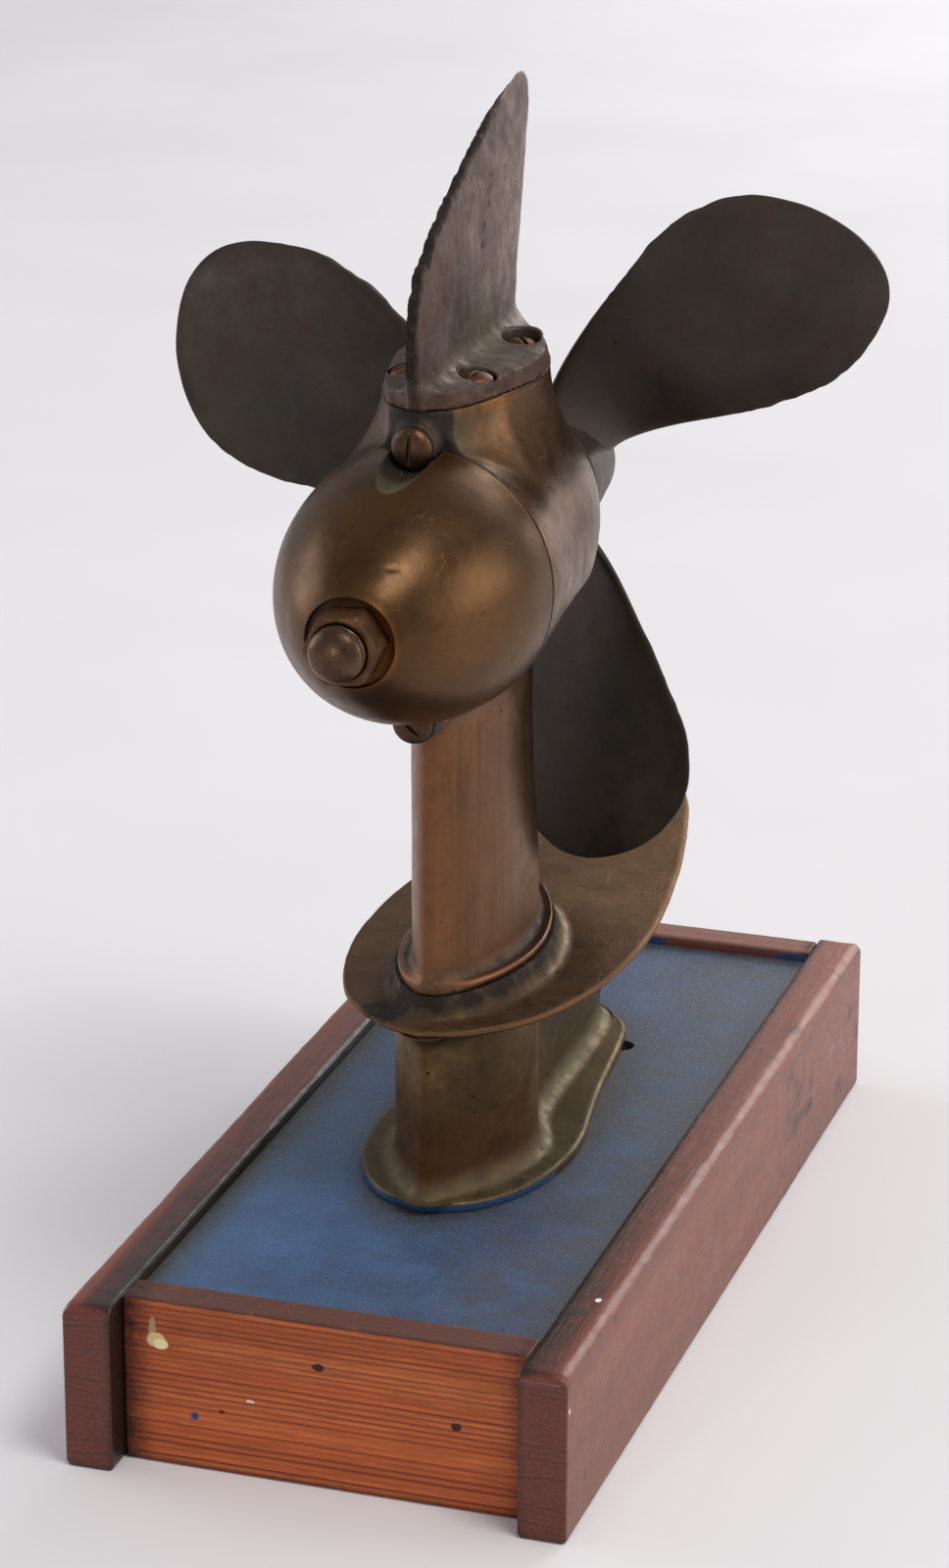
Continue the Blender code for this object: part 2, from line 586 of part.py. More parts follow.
def blade_mesh(name, number):
    """One blade as rounded sections on the helix, each thickest in its middle."""
    sections = 13
    across = np.array([0.0, 0.05, 0.2, 0.4, 0.6, 0.8, 0.95, 1.0])
    swell = np.array([0.35, 0.55, 0.85, 1.0, 1.0, 0.85, 0.55, 0.35])
    datum = math.radians(blade_datum_deg + number * 360.0 / blade_count)
    rings = []
    for part in 0.485 * np.linspace(0.0, 1.0, sections) ** 1.15:
        radius, rear = blade_edge(part)
        front = blade_edge(1.0 - part)[1]
        rise = (radius - blade_root_radius) / (propeller_radius - blade_root_radius)
        narrowing = 1.0 - 0.22 * math.exp(-(radius - blade_root_radius) / 0.020)
        rear, front = rear * narrowing, front * narrowing
        thick = 0.0045 * (1.0 - rise) + 0.0016 * rise + 0.004 * math.exp(-(radius - 0.036) / 0.012)
        slope = math.atan(propeller_pitch / (2.0 * math.pi * radius))
        chord = front + (rear - front) * across
        there = np.column_stack([chord, thick * swell])
        back = np.column_stack([chord[::-1], -thick * swell[::-1]])
        section = np.vstack([there, back])
        angle = datum + (section[:, 0] * math.cos(slope) - section[:, 1] * math.sin(slope)) / radius
        along = section[:, 0] * math.sin(slope) + section[:, 1] * math.cos(slope)
        rings.append(np.column_stack([radius * np.sin(angle), along, radius * np.cos(angle)]))
    return loft_mesh(name, rings)


def make_propeller():
    """The hub, turned and bored, with the three blades joined on. Its origin is on the shaft axis."""
    front, rear = hub_front - propeller_y, hub_rear - propeller_y
    profile = [(0.0, rear), (hub_rear_radius - 0.002, rear), (hub_rear_radius, rear - 0.002),
               (0.5 * (hub_rear_radius + hub_front_radius) + 0.0006, 0.0),
               (hub_front_radius, front + 0.0015), (hub_front_radius - 0.0015, front), (0.0, front)]
    hub = on_shaft_axis(add_turned("propeller", profile, round_steps, dark_bronze))
    hub.location.y = propeller_y
    for number in range(blade_count):
        name = "blade_form_%d" % (number + 1)
        blade = add_object(name, blade_mesh(name, number), cutter=True)
        blade.location = (0.0, propeller_y, shaft_height)
        boolean(hub, blade, "UNION")
    bore = cylinder_mesh("hub_bore", shaft_radius + gap, hub_front - 0.005, hub_rear + 0.005, 32, "Y",
                         (0.0, shaft_height))
    boolean(hub, add_object("hub_bore", bore, cutter=True), "DIFFERENCE")
    shade(hub)


def make_shaft_line():
    """The propeller shaft, the seal it turns in, and the washer and nut behind the hub."""
    profile = [(0.0, shaft_rear_y), (shaft_radius - 0.0015, shaft_rear_y), (shaft_radius, shaft_rear_y - 0.0015),
               (shaft_radius, shaft_front_y), (0.0, shaft_front_y)]
    shaft = on_shaft_axis(add_turned("propeller_shaft", profile, 32, steel))
    shade(shaft)

    def add_ring(name, outer, inner, low, high, finish):
        profile = [(inner, high), (outer, high), (outer, low), (inner, low), (inner, high)]
        shade(on_shaft_axis(add_turned(name, profile, 32, finish)))

    add_ring("shaft_seal_ring", seal_radius, shaft_radius + 2.0 * gap, gearcase_end - seal_depth + gap,
             gearcase_end, black_rubber)
    washer_rear = hub_rear + gap + 0.003
    add_ring("propeller_washer", 0.0215, shaft_radius + gap, hub_rear + gap, washer_rear, bronze)
    make_nut("propeller_nut", washer_rear + gap, washer_rear + 0.018, shaft_radius + gap, golden_bronze)


def make_flange_bolts():
    """Hexagon bolts that come up through the panel into the flange."""
    for place, (x, y) in flange_bolt_places.items():
        name = "flange_bolt_" + place
        head = cylinder_mesh(name, 0.0075, panel_bottom - gap - 0.0055, panel_bottom - gap, 6, centre=(x, y))
        bolt = add_object(name, head, steel)
        shank = cylinder_mesh(name + "_shank", flange_bolt_radius, panel_bottom - 0.003, flange_bottom + 0.0032, 16,
                              centre=(x, y))
        boolean(bolt, add_object(name + "_shank", shank, cutter=True), "UNION")


def main():
    clear_scene()
    make_plinth()
    make_lower_casting()
    make_leg_casting()
    make_nose()
    make_nose_fastening()
    make_nose_screws()
    make_skeg_cover()
    make_cover_screws()
    make_propeller()
    make_shaft_line()
    make_flange_bolts()


main()
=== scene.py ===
import itertools
import json
import math

import bmesh
import bpy
import numpy as np
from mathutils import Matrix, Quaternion, Vector


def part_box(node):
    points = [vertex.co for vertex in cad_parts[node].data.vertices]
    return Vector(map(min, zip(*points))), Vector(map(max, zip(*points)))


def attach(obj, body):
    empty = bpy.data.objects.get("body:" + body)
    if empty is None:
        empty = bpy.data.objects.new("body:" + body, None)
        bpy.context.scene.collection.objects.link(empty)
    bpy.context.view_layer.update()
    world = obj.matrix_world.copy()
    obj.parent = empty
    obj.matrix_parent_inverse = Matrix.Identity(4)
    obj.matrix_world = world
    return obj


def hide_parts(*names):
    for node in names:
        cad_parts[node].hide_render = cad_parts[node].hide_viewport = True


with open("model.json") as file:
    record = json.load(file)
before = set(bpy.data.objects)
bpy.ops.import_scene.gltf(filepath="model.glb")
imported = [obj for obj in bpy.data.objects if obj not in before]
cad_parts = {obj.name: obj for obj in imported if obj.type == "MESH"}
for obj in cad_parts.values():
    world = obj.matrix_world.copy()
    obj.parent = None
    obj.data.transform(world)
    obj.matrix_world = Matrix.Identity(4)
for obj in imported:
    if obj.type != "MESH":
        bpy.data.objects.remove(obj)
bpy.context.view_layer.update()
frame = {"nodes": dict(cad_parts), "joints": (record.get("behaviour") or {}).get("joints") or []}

standBody = "leg_and_plinth"
turningBody = "propeller"
mm = 0.001               # every shape below is worked out in millimetres
shaftZ = frame["joints"][0]["pos_m"][2] / mm
propellerY = frame["joints"][0]["pos_m"][1] / mm


# lowest and highest corner of a CAD node, in millimetres
def nodeBox(node):
    low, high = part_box(node)
    return np.array(low) / mm, np.array(high) / mm


# smooth curve through points (Catmull-Rom), read at even steps of its length
def smoothCurve(points, count):
    points = np.asarray(points, float)
    ends = np.vstack([2 * points[0] - points[1], points, 2 * points[-1] - points[-2]])
    a, b, c, d = (ends[k:len(ends) - 3 + k, None, :] for k in range(4))
    t = np.linspace(0.0, 1.0, 16, endpoint=False)[None, :, None]
    square, cube = 2 * a - 5 * b + 4 * c - d, 3 * b - a - 3 * c + d
    fine = 0.5 * (2 * b + (c - a) * t + square * t ** 2 + cube * t ** 3)
    fine = np.vstack([fine.reshape(-1, points.shape[1]), points[-1:]])
    length = np.concatenate([[0.0], np.cumsum(np.linalg.norm(np.diff(fine, axis=0), axis=1))])
    even = np.linspace(0.0, length[-1], count)
    return np.column_stack([np.interp(even, length, fine[:, k]) for k in range(fine.shape[1])])


# 0 at low, 1 at high and past it, 3t² - 2t³ between; low may be the greater of the two
def ramp(value, low, high):
    t = np.clip((value - low) / (high - low), 0.0, 1.0)
    return t * t * (3.0 - 2.0 * t)


# bell: exp(-((value - middle) / width)²)
def bell(value, middle, width):
    return np.exp(-((value - middle) / width) ** 2)


# soft spot: exp(-(distance / radius)²), with one radius or one for each axis
def spot(p, centre, radius):
    return np.exp(-np.sum(((p - np.array(centre, float)) / radius) ** 2, axis=-1))


# smooth noise from -1 to 1: hashed values on a lattice of the given size in mm, blended by 3t² - 2t³
def lumps(p, size, seed=1):
    cell = np.floor(p / size).astype(np.int64)
    t = p / size - cell
    t = t * t * (3.0 - 2.0 * t)
    total = np.zeros(p.shape[:-1])
    for corner in itertools.product((0, 1), repeat=3):
        c = cell + np.array(corner)
        mixed = (c[..., 0] * 73856093) ^ (c[..., 1] * 19349663) ^ (c[..., 2] * 83492791) ^ (seed * 2654435)
        mixed = ((mixed & 0xffffffff) * 1274126177) & 0xffffffff
        value = ((mixed >> 12) & 0xffff) / 32767.5 - 1.0
        total += value * np.prod(np.where(np.array(corner) == 1, t, 1.0 - t), axis=-1)
    return total


# noise in layers, each (height, size in mm): sum of height x lumps of that size, with a seed of its own
def layered(p, seed, *layers):
    return sum(height * lumps(p, size, seed + k) for k, (height, size) in enumerate(layers))


# smooth union: the lower of two fields, rounded over a width k: min(a, b) - max(k - |a - b|, 0)² / 4k
def joined(a, b, k):
    return np.minimum(a, b) - np.maximum(k - np.abs(a - b), 0.0) ** 2 / (4.0 * k)


# smooth cut: the greater of a and -b, rounded over a width k, which leaves what a holds and b doesn't
def cutBy(a, b, k):
    return -joined(-a, b, k)


# signed distance to a closed outline, negative inside: worked out on a grid and read between its points
def outlineDistance(loop, cell=0.8, margin=32.0):
    low = loop.min(0) - margin
    count = np.ceil((loop.max(0) + margin - low) / cell).astype(int) + 1
    gx, gy = np.meshgrid(*(low[k] + cell * np.arange(count[k]) for k in (0, 1)), indexing="ij")
    nearest = np.full(gx.shape, np.inf)
    inside = np.zeros(gx.shape, bool)
    for (ax, ay), (bx, by) in zip(loop, np.roll(loop, -1, axis=0)):
        ex, ey = bx - ax, by - ay
        t = np.clip(((gx - ax) * ex + (gy - ay) * ey) / (ex * ex + ey * ey + 1e-12), 0.0, 1.0)
        nearest = np.minimum(nearest, (gx - ax - t * ex) ** 2 + (gy - ay - t * ey) ** 2)
        inside ^= ((ay > gy) != (by > gy)) & (gx < ax + ex * (gy - ay) / (ey if abs(ey) > 1e-9 else 1e-9))
    signed = np.where(inside, -1.0, 1.0) * np.sqrt(nearest)

    def read(x, y):
        u = np.clip((x - low[0]) / cell, 0.0, count[0] - 1.001)
        v = np.clip((y - low[1]) / cell, 0.0, count[1] - 1.001)
        i, j = u.astype(int), v.astype(int)
        u, v = u - i, v - j
        return ((signed[i, j] * (1 - u) + signed[i + 1, j] * u) * (1 - v)
                + (signed[i, j + 1] * (1 - u) + signed[i + 1, j + 1] * u) * v)
    return read


# slope of a field at points, from differences of h mm to each side
def gradient(field, points, h=0.3):
    slope = np.empty(points.shape)
    for axis in range(3):
        shift = np.zeros(3)
        shift[axis] = h
        slope[:, axis] = (field(points + shift) - field(points - shift)) / (2.0 * h)
    return slope


# unit normals of a field's surface
def fieldNormals(field, points):
    slope = gradient(field, points)
    return slope / np.maximum(np.linalg.norm(slope, axis=1), 1e-6)[:, None]


# the surface where a field of points is zero: one vertex in each cell that the surface passes through, at the
# mean of its crossings on the cell's edges, and a quad round each crossed edge; then three Newton steps
def fieldSurface(field, low, high, cell):
    axes = [np.arange(low[k], high[k] + cell, cell) for k in range(3)]
    grid = np.stack(np.meshgrid(*axes, indexing="ij"), axis=-1)
    value = field(grid)
    size = value.shape
    total = np.zeros(tuple(n - 1 for n in size) + (3,))
    count = np.zeros(total.shape[:3])
    edges = []
    for axis in range(3):
        others = [k for k in range(3) if k != axis]
        first, second = [slice(None)] * 3, [slice(None)] * 3
        first[axis], second[axis] = slice(None, -1), slice(1, None)
        a, b = value[tuple(first)], value[tuple(second)]
        crossed = (a < 0) != (b < 0)
        point = grid[tuple(first)].copy()
        point[..., axis] += np.where(crossed, a / np.where(crossed, a - b, 1.0), 0.0) * cell
        for shift in itertools.product((0, 1), repeat=2):
            part = [slice(None)] * 3
            for k, s in zip(others, shift):
                part[k] = slice(s, s + size[k] - 1)
            part = tuple(part)
            total += np.where(crossed[part][..., None], point[part], 0.0)
            count += crossed[part]
        edges.append((crossed, a < 0))
    used = count > 0
    number = np.full(count.shape, -1)
    number[used] = np.arange(used.sum())
    points = total[used] / count[used][:, None]
    quads = []
    for axis, (crossed, starts) in enumerate(edges):
        one, two = (axis + 1) % 3, (axis + 2) % 3
        place = np.argwhere(crossed)
        keep = (place[:, one] > 0) & (place[:, two] > 0)
        keep &= (place[:, one] < size[one] - 1) & (place[:, two] < size[two] - 1)
        place = place[keep]
        corner = []
        for back in ((1, 1), (0, 1), (0, 0), (1, 0)):
            index = place.copy()
            index[:, (one, two)] -= back
            corner.append(number[tuple(index.T)])
        quad = np.stack(corner, axis=-1)
        outwards = starts[tuple(place.T)]
        quad[~outwards] = quad[~outwards][:, ::-1]
        quads.append(quad)
    for _ in range(3):
        slope = gradient(field, points)
        step = field(points)[:, None] * slope / np.maximum(np.sum(slope ** 2, axis=1), 0.04)[:, None]
        points = points - np.clip(step, -0.5 * cell, 0.5 * cell)
    return points, np.vstack(quads)


# rings of points (rows, columns, 3) as points and quads, closed sideways: each quad joins a point to the next
# column and the next row
def skin(rings):
    rows, columns = rings.shape[:2]
    start = np.arange(rows - 1)[:, None] * columns
    column = np.arange(columns)
    after = (column + 1) % columns
    faces = np.stack([start + column, start + after, start + columns + after, start + columns + column], -1)
    return rings.reshape(-1, 3), faces.reshape(-1, 4)


# rings as a closed shell: the first and the last ring shrink to their middles
def shell(rings):
    first, last = (np.broadcast_to(ring.mean(0), ring.shape)[None] for ring in (rings[0], rings[-1]))
    return skin(np.concatenate([first, rings, last]))


# more rings between rings, so that none lie further apart than the step
def finerRings(rings, step):
    result = [rings[0]]
    for one, two in zip(rings[:-1], rings[1:]):
        parts = max(1, int(np.ceil(np.linalg.norm(two - one, axis=1).max() / step)))
        share = np.linspace(0.0, 1.0, parts + 1)[1:, None, None]
        result.extend(one + (two - one) * share)
    return np.array(result)


# surface normals of a grid that is closed sideways: cross product of its steps along and across
def gridNormals(rings):
    across = np.roll(rings, -1, axis=1) - np.roll(rings, 1, axis=1)
    normal = np.cross(across, np.gradient(rings, axis=0))
    return normal / np.maximum(np.linalg.norm(normal, axis=2), 1e-9)[..., None]


# angles all the way round, the last one short of the first
def wholeTurn(count):
    return np.linspace(0.0, 2.0 * np.pi, count, endpoint=False)


# points round the shaft's axis: (radius sin angle, place, height of the axis + radius cos angle)
def roundShaft(radius, angle, place):
    return np.stack(np.broadcast_arrays(radius * np.sin(angle), place, shaftZ + radius * np.cos(angle)), -1)


# turned shape: a profile of (place, radius) carried round the shaft's axis
def turned(profile, columns):
    profile = np.asarray(profile, float)
    return roundShaft(profile[:, 1:], wholeTurn(columns), profile[:, :1])


# a mesh from shells of points in mm and quads, with its doubles merged and its faces turned outwards; masks
# gives the values from 0 to 1 that the material reads, by name
def makeMesh(name, shells, masks):
    points = np.vstack([points for points, faces in shells])
    starts = np.cumsum([0] + [len(points) for points, faces in shells[:-1]])
    faces = np.vstack([faces + start for (_, faces), start in zip(shells, starts)])
    mesh = bpy.data.meshes.new(name)
    mesh.vertices.add(len(points))
    mesh.vertices.foreach_set("co", (points * mm).astype(np.float32).ravel())
    mesh.loops.add(faces.size)
    mesh.loops.foreach_set("vertex_index", faces.astype(np.int32).ravel())
    mesh.polygons.add(len(faces))
    mesh.polygons.foreach_set("loop_start", np.arange(0, faces.size, 4, dtype=np.int32))
    mesh.update(calc_edges=True)
    for label, values in (masks(points) if masks else {}).items():
        layer = mesh.attributes.new(label, "FLOAT", "POINT")
        layer.data.foreach_set("value", np.clip(values, 0.0, 1.0).astype(np.float32))
    form = bmesh.new()
    form.from_mesh(mesh)
    bmesh.ops.remove_doubles(form, verts=form.verts, dist=0.002 * mm)
    bmesh.ops.dissolve_degenerate(form, edges=form.edges, dist=0.0005 * mm)
    bmesh.ops.recalc_face_normals(form, faces=form.faces)
    form.to_mesh(mesh)
    form.free()
    mesh.shade_smooth()
    return mesh


# a finished piece that rides on its body, stands for a CAD node and takes the material given; edges
# sharper than an angle in degrees stay sharp
def addPiece(name, shells, material, body, node, masks=None, sharp=None):
    mesh = makeMesh(name, shells, masks)
    if sharp:
        mesh.set_sharp_from_angle(angle=math.radians(sharp))
    mesh.materials.append(material)
    piece = bpy.data.objects.new(name, mesh)
    bpy.context.scene.collection.objects.link(piece)
    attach(piece, body)
    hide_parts(node)
    print("made", name, len(mesh.polygons), "faces")


# a CAD node that stays gets a better material
def dress(node, material):
    mesh = frame["nodes"][node].data
    mesh.materials.clear()
    mesh.materials.append(material)


# an sRGB hex colour in linear light: ((c + 0.055) / 1.055)^2.4 above the toe, c / 12.92 below it
def hexColour(code):
    part = np.array([int(code[k:k + 2], 16) for k in (0, 2, 4)]) / 255.0
    linear = np.where(part > 0.04045, ((part + 0.055) / 1.055) ** 2.4, part / 12.92)
    return (*linear.tolist(), 1.0)


# a node's inputs, each a value, a hex colour or another node's output
def fill(tree, node, inputs):
    for key, value in inputs.items():
        if isinstance(value, bpy.types.NodeSocket):
            tree.links.new(value, node.inputs[key])
        else:
            node.inputs[key].default_value = hexColour(value) if isinstance(value, str) else value


# one node with its settings, given as one of its outputs; stops are a colour ramp's (position, colour or grey)
def addNode(tree, kind, inputs, output=0, stops=(), **settings):
    node = tree.nodes.new("ShaderNode" + kind)
    for name, value in settings.items():
        setattr(node, name, value)
    fill(tree, node, inputs)
    while len(stops) > len(node.color_ramp.elements if stops else ()):
        node.color_ramp.elements.new(0.5)
    for element, (position, colour) in zip(node.color_ramp.elements if stops else (), stops):
        element.position = position
        element.color = hexColour(colour) if isinstance(colour, str) else (colour, colour, colour, 1.0)
    return node.outputs[output]


# sum of terms, each a list of factors to multiply: numbers, outputs, or (output, stops...) for one that is
# read through a colour ramp
def sumOf(tree, *terms, clamp=False):
    total = None
    for term in terms:
        value = None
        for factor in term:
            if isinstance(factor, tuple):
                factor = addNode(tree, "ValToRGB", {0: factor[0]}, stops=factor[1:])
            if value is None:
                value = factor
            else:
                value = addNode(tree, "Math", {0: value, 1: factor}, operation="MULTIPLY")
        total = value if total is None else addNode(tree, "Math", {0: total, 1: value}, operation="ADD")
    if clamp:
        total.node.use_clamp = True
    return total


# a colour laid over another, as far as the product of the factors says
def laid(tree, under, over, *factors):
    return addNode(tree, "Mix", {0: sumOf(tree, factors), 6: under, 7: over}, 2, data_type="RGBA",
                   clamp_factor=True)


# a new material with its tree, its pattern's place on the object, its masks and its noises by name; a noise is
# (size in mm, detail, roughness, distortion, inputs of a mapping or none)
def newMaterial(name, noises, labels=()):
    material = bpy.data.materials.new(name)
    material.use_nodes = True
    tree = material.node_tree
    place = addNode(tree, "TexCoord", {}, "Object")
    mask = {label: addNode(tree, "Attribute", {}, "Fac", attribute_name=label) for label in labels}
    noise = {}
    for label, (size, detail, roughness, distortion, mapping) in noises.items():
        where = addNode(tree, "Mapping", {"Vector": place, **mapping}) if mapping else place
        pattern = {"Vector": where, "Scale": 1.0 / (size * mm), "Detail": detail, "Roughness": roughness,
                   "Distortion": distortion}
        noise[label] = addNode(tree, "TexNoise", pattern)
    return material, tree, noise, place, mask


# the material's shader gets its values; relief is a height that a bump of so many mm makes of it
def finished(material, values, strength, depthMm, relief):
    tree = material.node_tree
    bump = addNode(tree, "Bump", {"Strength": strength, "Distance": depthMm * mm, "Height": relief})
    fill(tree, tree.nodes["Principled BSDF"], {**values, "Normal": bump})
    return material


# Cast gunmetal with an old handled patina: brown oxide over metal, so edges and thin places go golden, hollows
# dark, and damp corners green. Metal underneath keeps it reflective, and the oxide makes the gloss uneven.
def patinatedGunmetal(name, look):
    noises = {"cloud": (look["cloudMm"], 5.0, 0.62, 0.4, None),
              "mottle": (look["mottleMm"], 6.0, 0.70, 0.0, None),
              "grit": (1.6, 3.0, 0.60, 0.0, None), "blotch": (6.5, 4.0, 0.60, 1.2, None),
              "streak": (4.5, 5.0, 0.72, 0.0, {"Scale": look["brush"]}),
              "scratch": (9.0, 1.5, 0.50, 0.3, {"Rotation": (0.5, 0.9, 0.3), "Scale": (1.0, 0.22, 1.0)}),
              "pitted": (22.0, 2.0, 0.65, 0.0, None), "scratched": (15.0, 3.0, 0.65, 0.0, None)}
    labels = ("rubbed", "rust", "verdigris", "grimeAndShade", "smooth")
    material, tree, noise, place, mask = newMaterial(name, noises, labels)
    cloud = (noise["cloud"], (0.34, look["dark"]), (0.50, look["base"]), (0.68, look["light"]))
    tone = sumOf(tree, [cloud])
    tone = laid(tree, tone, look["second"], (noise["mottle"], (0.42, 0.0), (0.60, 1.0)), look["mottle"])

    # old handling: streaks drawn out along the piece, and darker blotches of 4 to 8 mm with soft edges
    drawn = sumOf(tree, [look["streak"]], [mask["smooth"], -look["streak"]])
    tone = laid(tree, tone, look["dark"], (noise["streak"], (0.50, 0.0), (0.66, 1.0)), drawn)
    tone = laid(tree, tone, look["light"], (noise["streak"], (0.30, 0.8), (0.46, 0.0)), drawn)
    tone = laid(tree, tone, look["dark"], (noise["blotch"], (0.56, 0.0), (0.68, 1.0)), look["blotch"])

    # masks, broken up by the mottling
    for label in ("rubbed", "rust", "verdigris", "grimeAndShade"):
        tone = laid(tree, tone, look[label], mask[label], noise["mottle"], 1.9 if label == "rubbed" else 2.0)

    # casting pits: small dark pinholes, one to a cell of a few mm, kept where a broad noise is high
    cells = addNode(tree, "TexVoronoi", {"Vector": place, "Scale": 1.0 / (look["pitMm"] * mm)}, "Distance")
    pittedFrom = 1.0 - look["pits"]
    pit = sumOf(tree, [(cells, (0.09, 1.0), (0.19, 0.0)),
                       (noise["pitted"], (pittedFrom, 0.0), (pittedFrom + 0.06, 1.0))])
    tone = laid(tree, tone, look["grimeAndShade"], pit)

    # scratches: where a drawn-out noise passes its middle value, kept in patches; they show the metal
    off = addNode(tree, "Math", {0: sumOf(tree, [noise["scratch"]], [-0.5])}, operation="ABSOLUTE")
    scratch = sumOf(tree, [(off, (0.0015, 1.0), (0.0045, 0.0)),
                           (noise["scratched"], (0.54, 0.0), (0.62, 1.0))])
    tone = laid(tree, tone, look["rubbed"], scratch, look["scratch"])

    # roughness: the look's own, more or less by the mottling, and rougher in green and dirty places
    rough = addNode(tree, "MapRange", {0: noise["mottle"], 1: 0.35, 2: 0.65,
                                       3: look["rough"] - 0.07 * look["uneven"],
                                       4: look["rough"] + 0.12 * look["uneven"]})
    dull = sumOf(tree, [mask["verdigris"], noise["mottle"], 2.0], [mask["grimeAndShade"], noise["mottle"], 2.0],
                 clamp=True)
    rough = sumOf(tree, [noise["blotch"], 0.12 * look["uneven"]], [rough], [dull, 0.32])
    metal = addNode(tree, "MapRange", {0: dull, 3: look["metal"], 4: 0.15})
    relief = sumOf(tree, [noise["streak"], drawn, look["brushed"]], [noise["mottle"]],
                   [noise["grit"], look["grit"]], [pit, -2.2], [scratch, -0.5])
    return finished(material, {"Base Color": tone, "Roughness": rough, "Metallic": metal,
                               "Specular IOR Level": look["sheen"], "Specular Tint": look["tint"]},
                    look["bump"], 0.45, relief)


# cloudMm, mottleMm and pitMm are the sizes of broad clouds, mottling and cells of pits; brush draws the streaks
# out along the axis with the small number; uneven is how much the gloss varies; sheen and tint are those of the
# reflection, 0.5 and white for bare metal, less and browner under a thick oxide
gunmetal = {"base": "4e3c28", "light": "644d2f", "dark": "33271b", "second": "45362a", "rubbed": "8e6440",
            "rust": "7a4820", "verdigris": "55573c", "grimeAndShade": "221b16", "cloudMm": 50.0, "mottleMm": 13.0,
            "mottle": 0.6, "streak": 0.35, "blotch": 0.35, "scratch": 0.55, "pitMm": 6.0, "pits": 0.42,
            "rough": 0.34, "uneven": 1.0, "metal": 0.75, "bump": 0.40, "brush": (1.0, 1.0, 0.18),
            "brushed": 1.0, "grit": 0.3, "sheen": 0.45, "tint": "f8f0ea"}
allWays = (1.0, 1.0, 1.0)
noseLook = dict(gunmetal, base="4d361b", light="5b401f", dark="3b2918", second="4a311d", brush=(0.3, 1.0, 1.0),
                mottle=0.35, streak=0.12, blotch=0.10, rough=0.30, uneven=0.45, bump=0.25)
legLook = dict(gunmetal, base="523c25", light="6c4e2f", second="463227", rubbed="845737", rust="8c581c",
               brush=(1.0, 1.0, 0.05), streak=0.8, mottle=0.55, blotch=0.45, uneven=0.7, rough=0.29, sheen=0.5,
               tint="fff4ee")
coverLook = dict(gunmetal, base="6c5f59", light="897c77", dark="4a3f3a", second="62504a", rubbed="6c4a3c",
                 verdigris="56552f", cloudMm=30.0, mottleMm=9.0, pits=0.47, bump=0.50, brush=(1.0, 1.0, 0.12),
                 rough=0.31, sheen=0.3, tint="e8dcd6")
lowerLook = dict(gunmetal, base="54422b", light="6e5938", dark="392e22", second="4c3b2c", rubbed="7c563a",
                 verdigris="66684f", blotch=0.45, streak=0.15, rough=0.33, sheen=0.35, tint="e8dccc")
bladeLook = dict(gunmetal, base="302c28", light="3e3831", dark="262321", second="3c2c26", rubbed="5c5149",
                 cloudMm=80.0, mottleMm=20.0, mottle=0.5, streak=0.2, blotch=0.25, scratch=0.25, rough=0.38,
                 metal=0.6, bump=0.25, pits=0.36, brush=allWays)
nutLook = dict(gunmetal, base="432e20", light="5a3e28", dark="261b15", second="34251d", rubbed="9a6a3e",
               cloudMm=12.0, mottleMm=4.0, brush=allWays)
studLook = dict(gunmetal, base="46362c", light="604a38", dark="2a201c", second="48342a", rubbed="7c6a58",
                cloudMm=9.0, mottleMm=3.5, rough=0.17, metal=0.95, brush=allWays)
screwLook = dict(gunmetal, base="30251f", light="443329", dark="1f1917", second="2c2224", cloudMm=10.0,
                 mottleMm=3.0, rough=0.28, brush=allWays)
coverScrewLook = dict(screwLook, base="5c3f2c", light="7a5438", second="4c3628", rubbed="94643c")


# the gunmetal, with the panel's blue enamel brushed over what the paint mask names: glossy, thick and a little
# chipped
def paintedGunmetal(name, look, paint):
    material = patinatedGunmetal(name, look)
    tree = material.node_tree
    shader = tree.nodes["Principled BSDF"]
    place = addNode(tree, "TexCoord", {}, "Object")
    chip = addNode(tree, "TexNoise", {"Vector": place, "Scale": 1.0 / (paint["chipMm"] * mm), "Detail": 4.0})
    cover = sumOf(tree, [addNode(tree, "Attribute", {}, "Fac", attribute_name="paint"), chip])
    cover = sumOf(tree, [(cover, (0.20, 0.0), (0.30, 1.0))])
    tone = laid(tree, shader.inputs["Base Color"].links[0].from_socket, paint["colour"], cover)
    values = {"Base Color": tone}
    for socket, value in (("Roughness", paint["rough"]), ("Metallic", 0.0)):
        under = shader.inputs[socket].links[0].from_socket
        values[socket] = addNode(tree, "Mix", {0: cover, 2: under, 3: value}, data_type="FLOAT")
    fill(tree, shader, values)
    return material


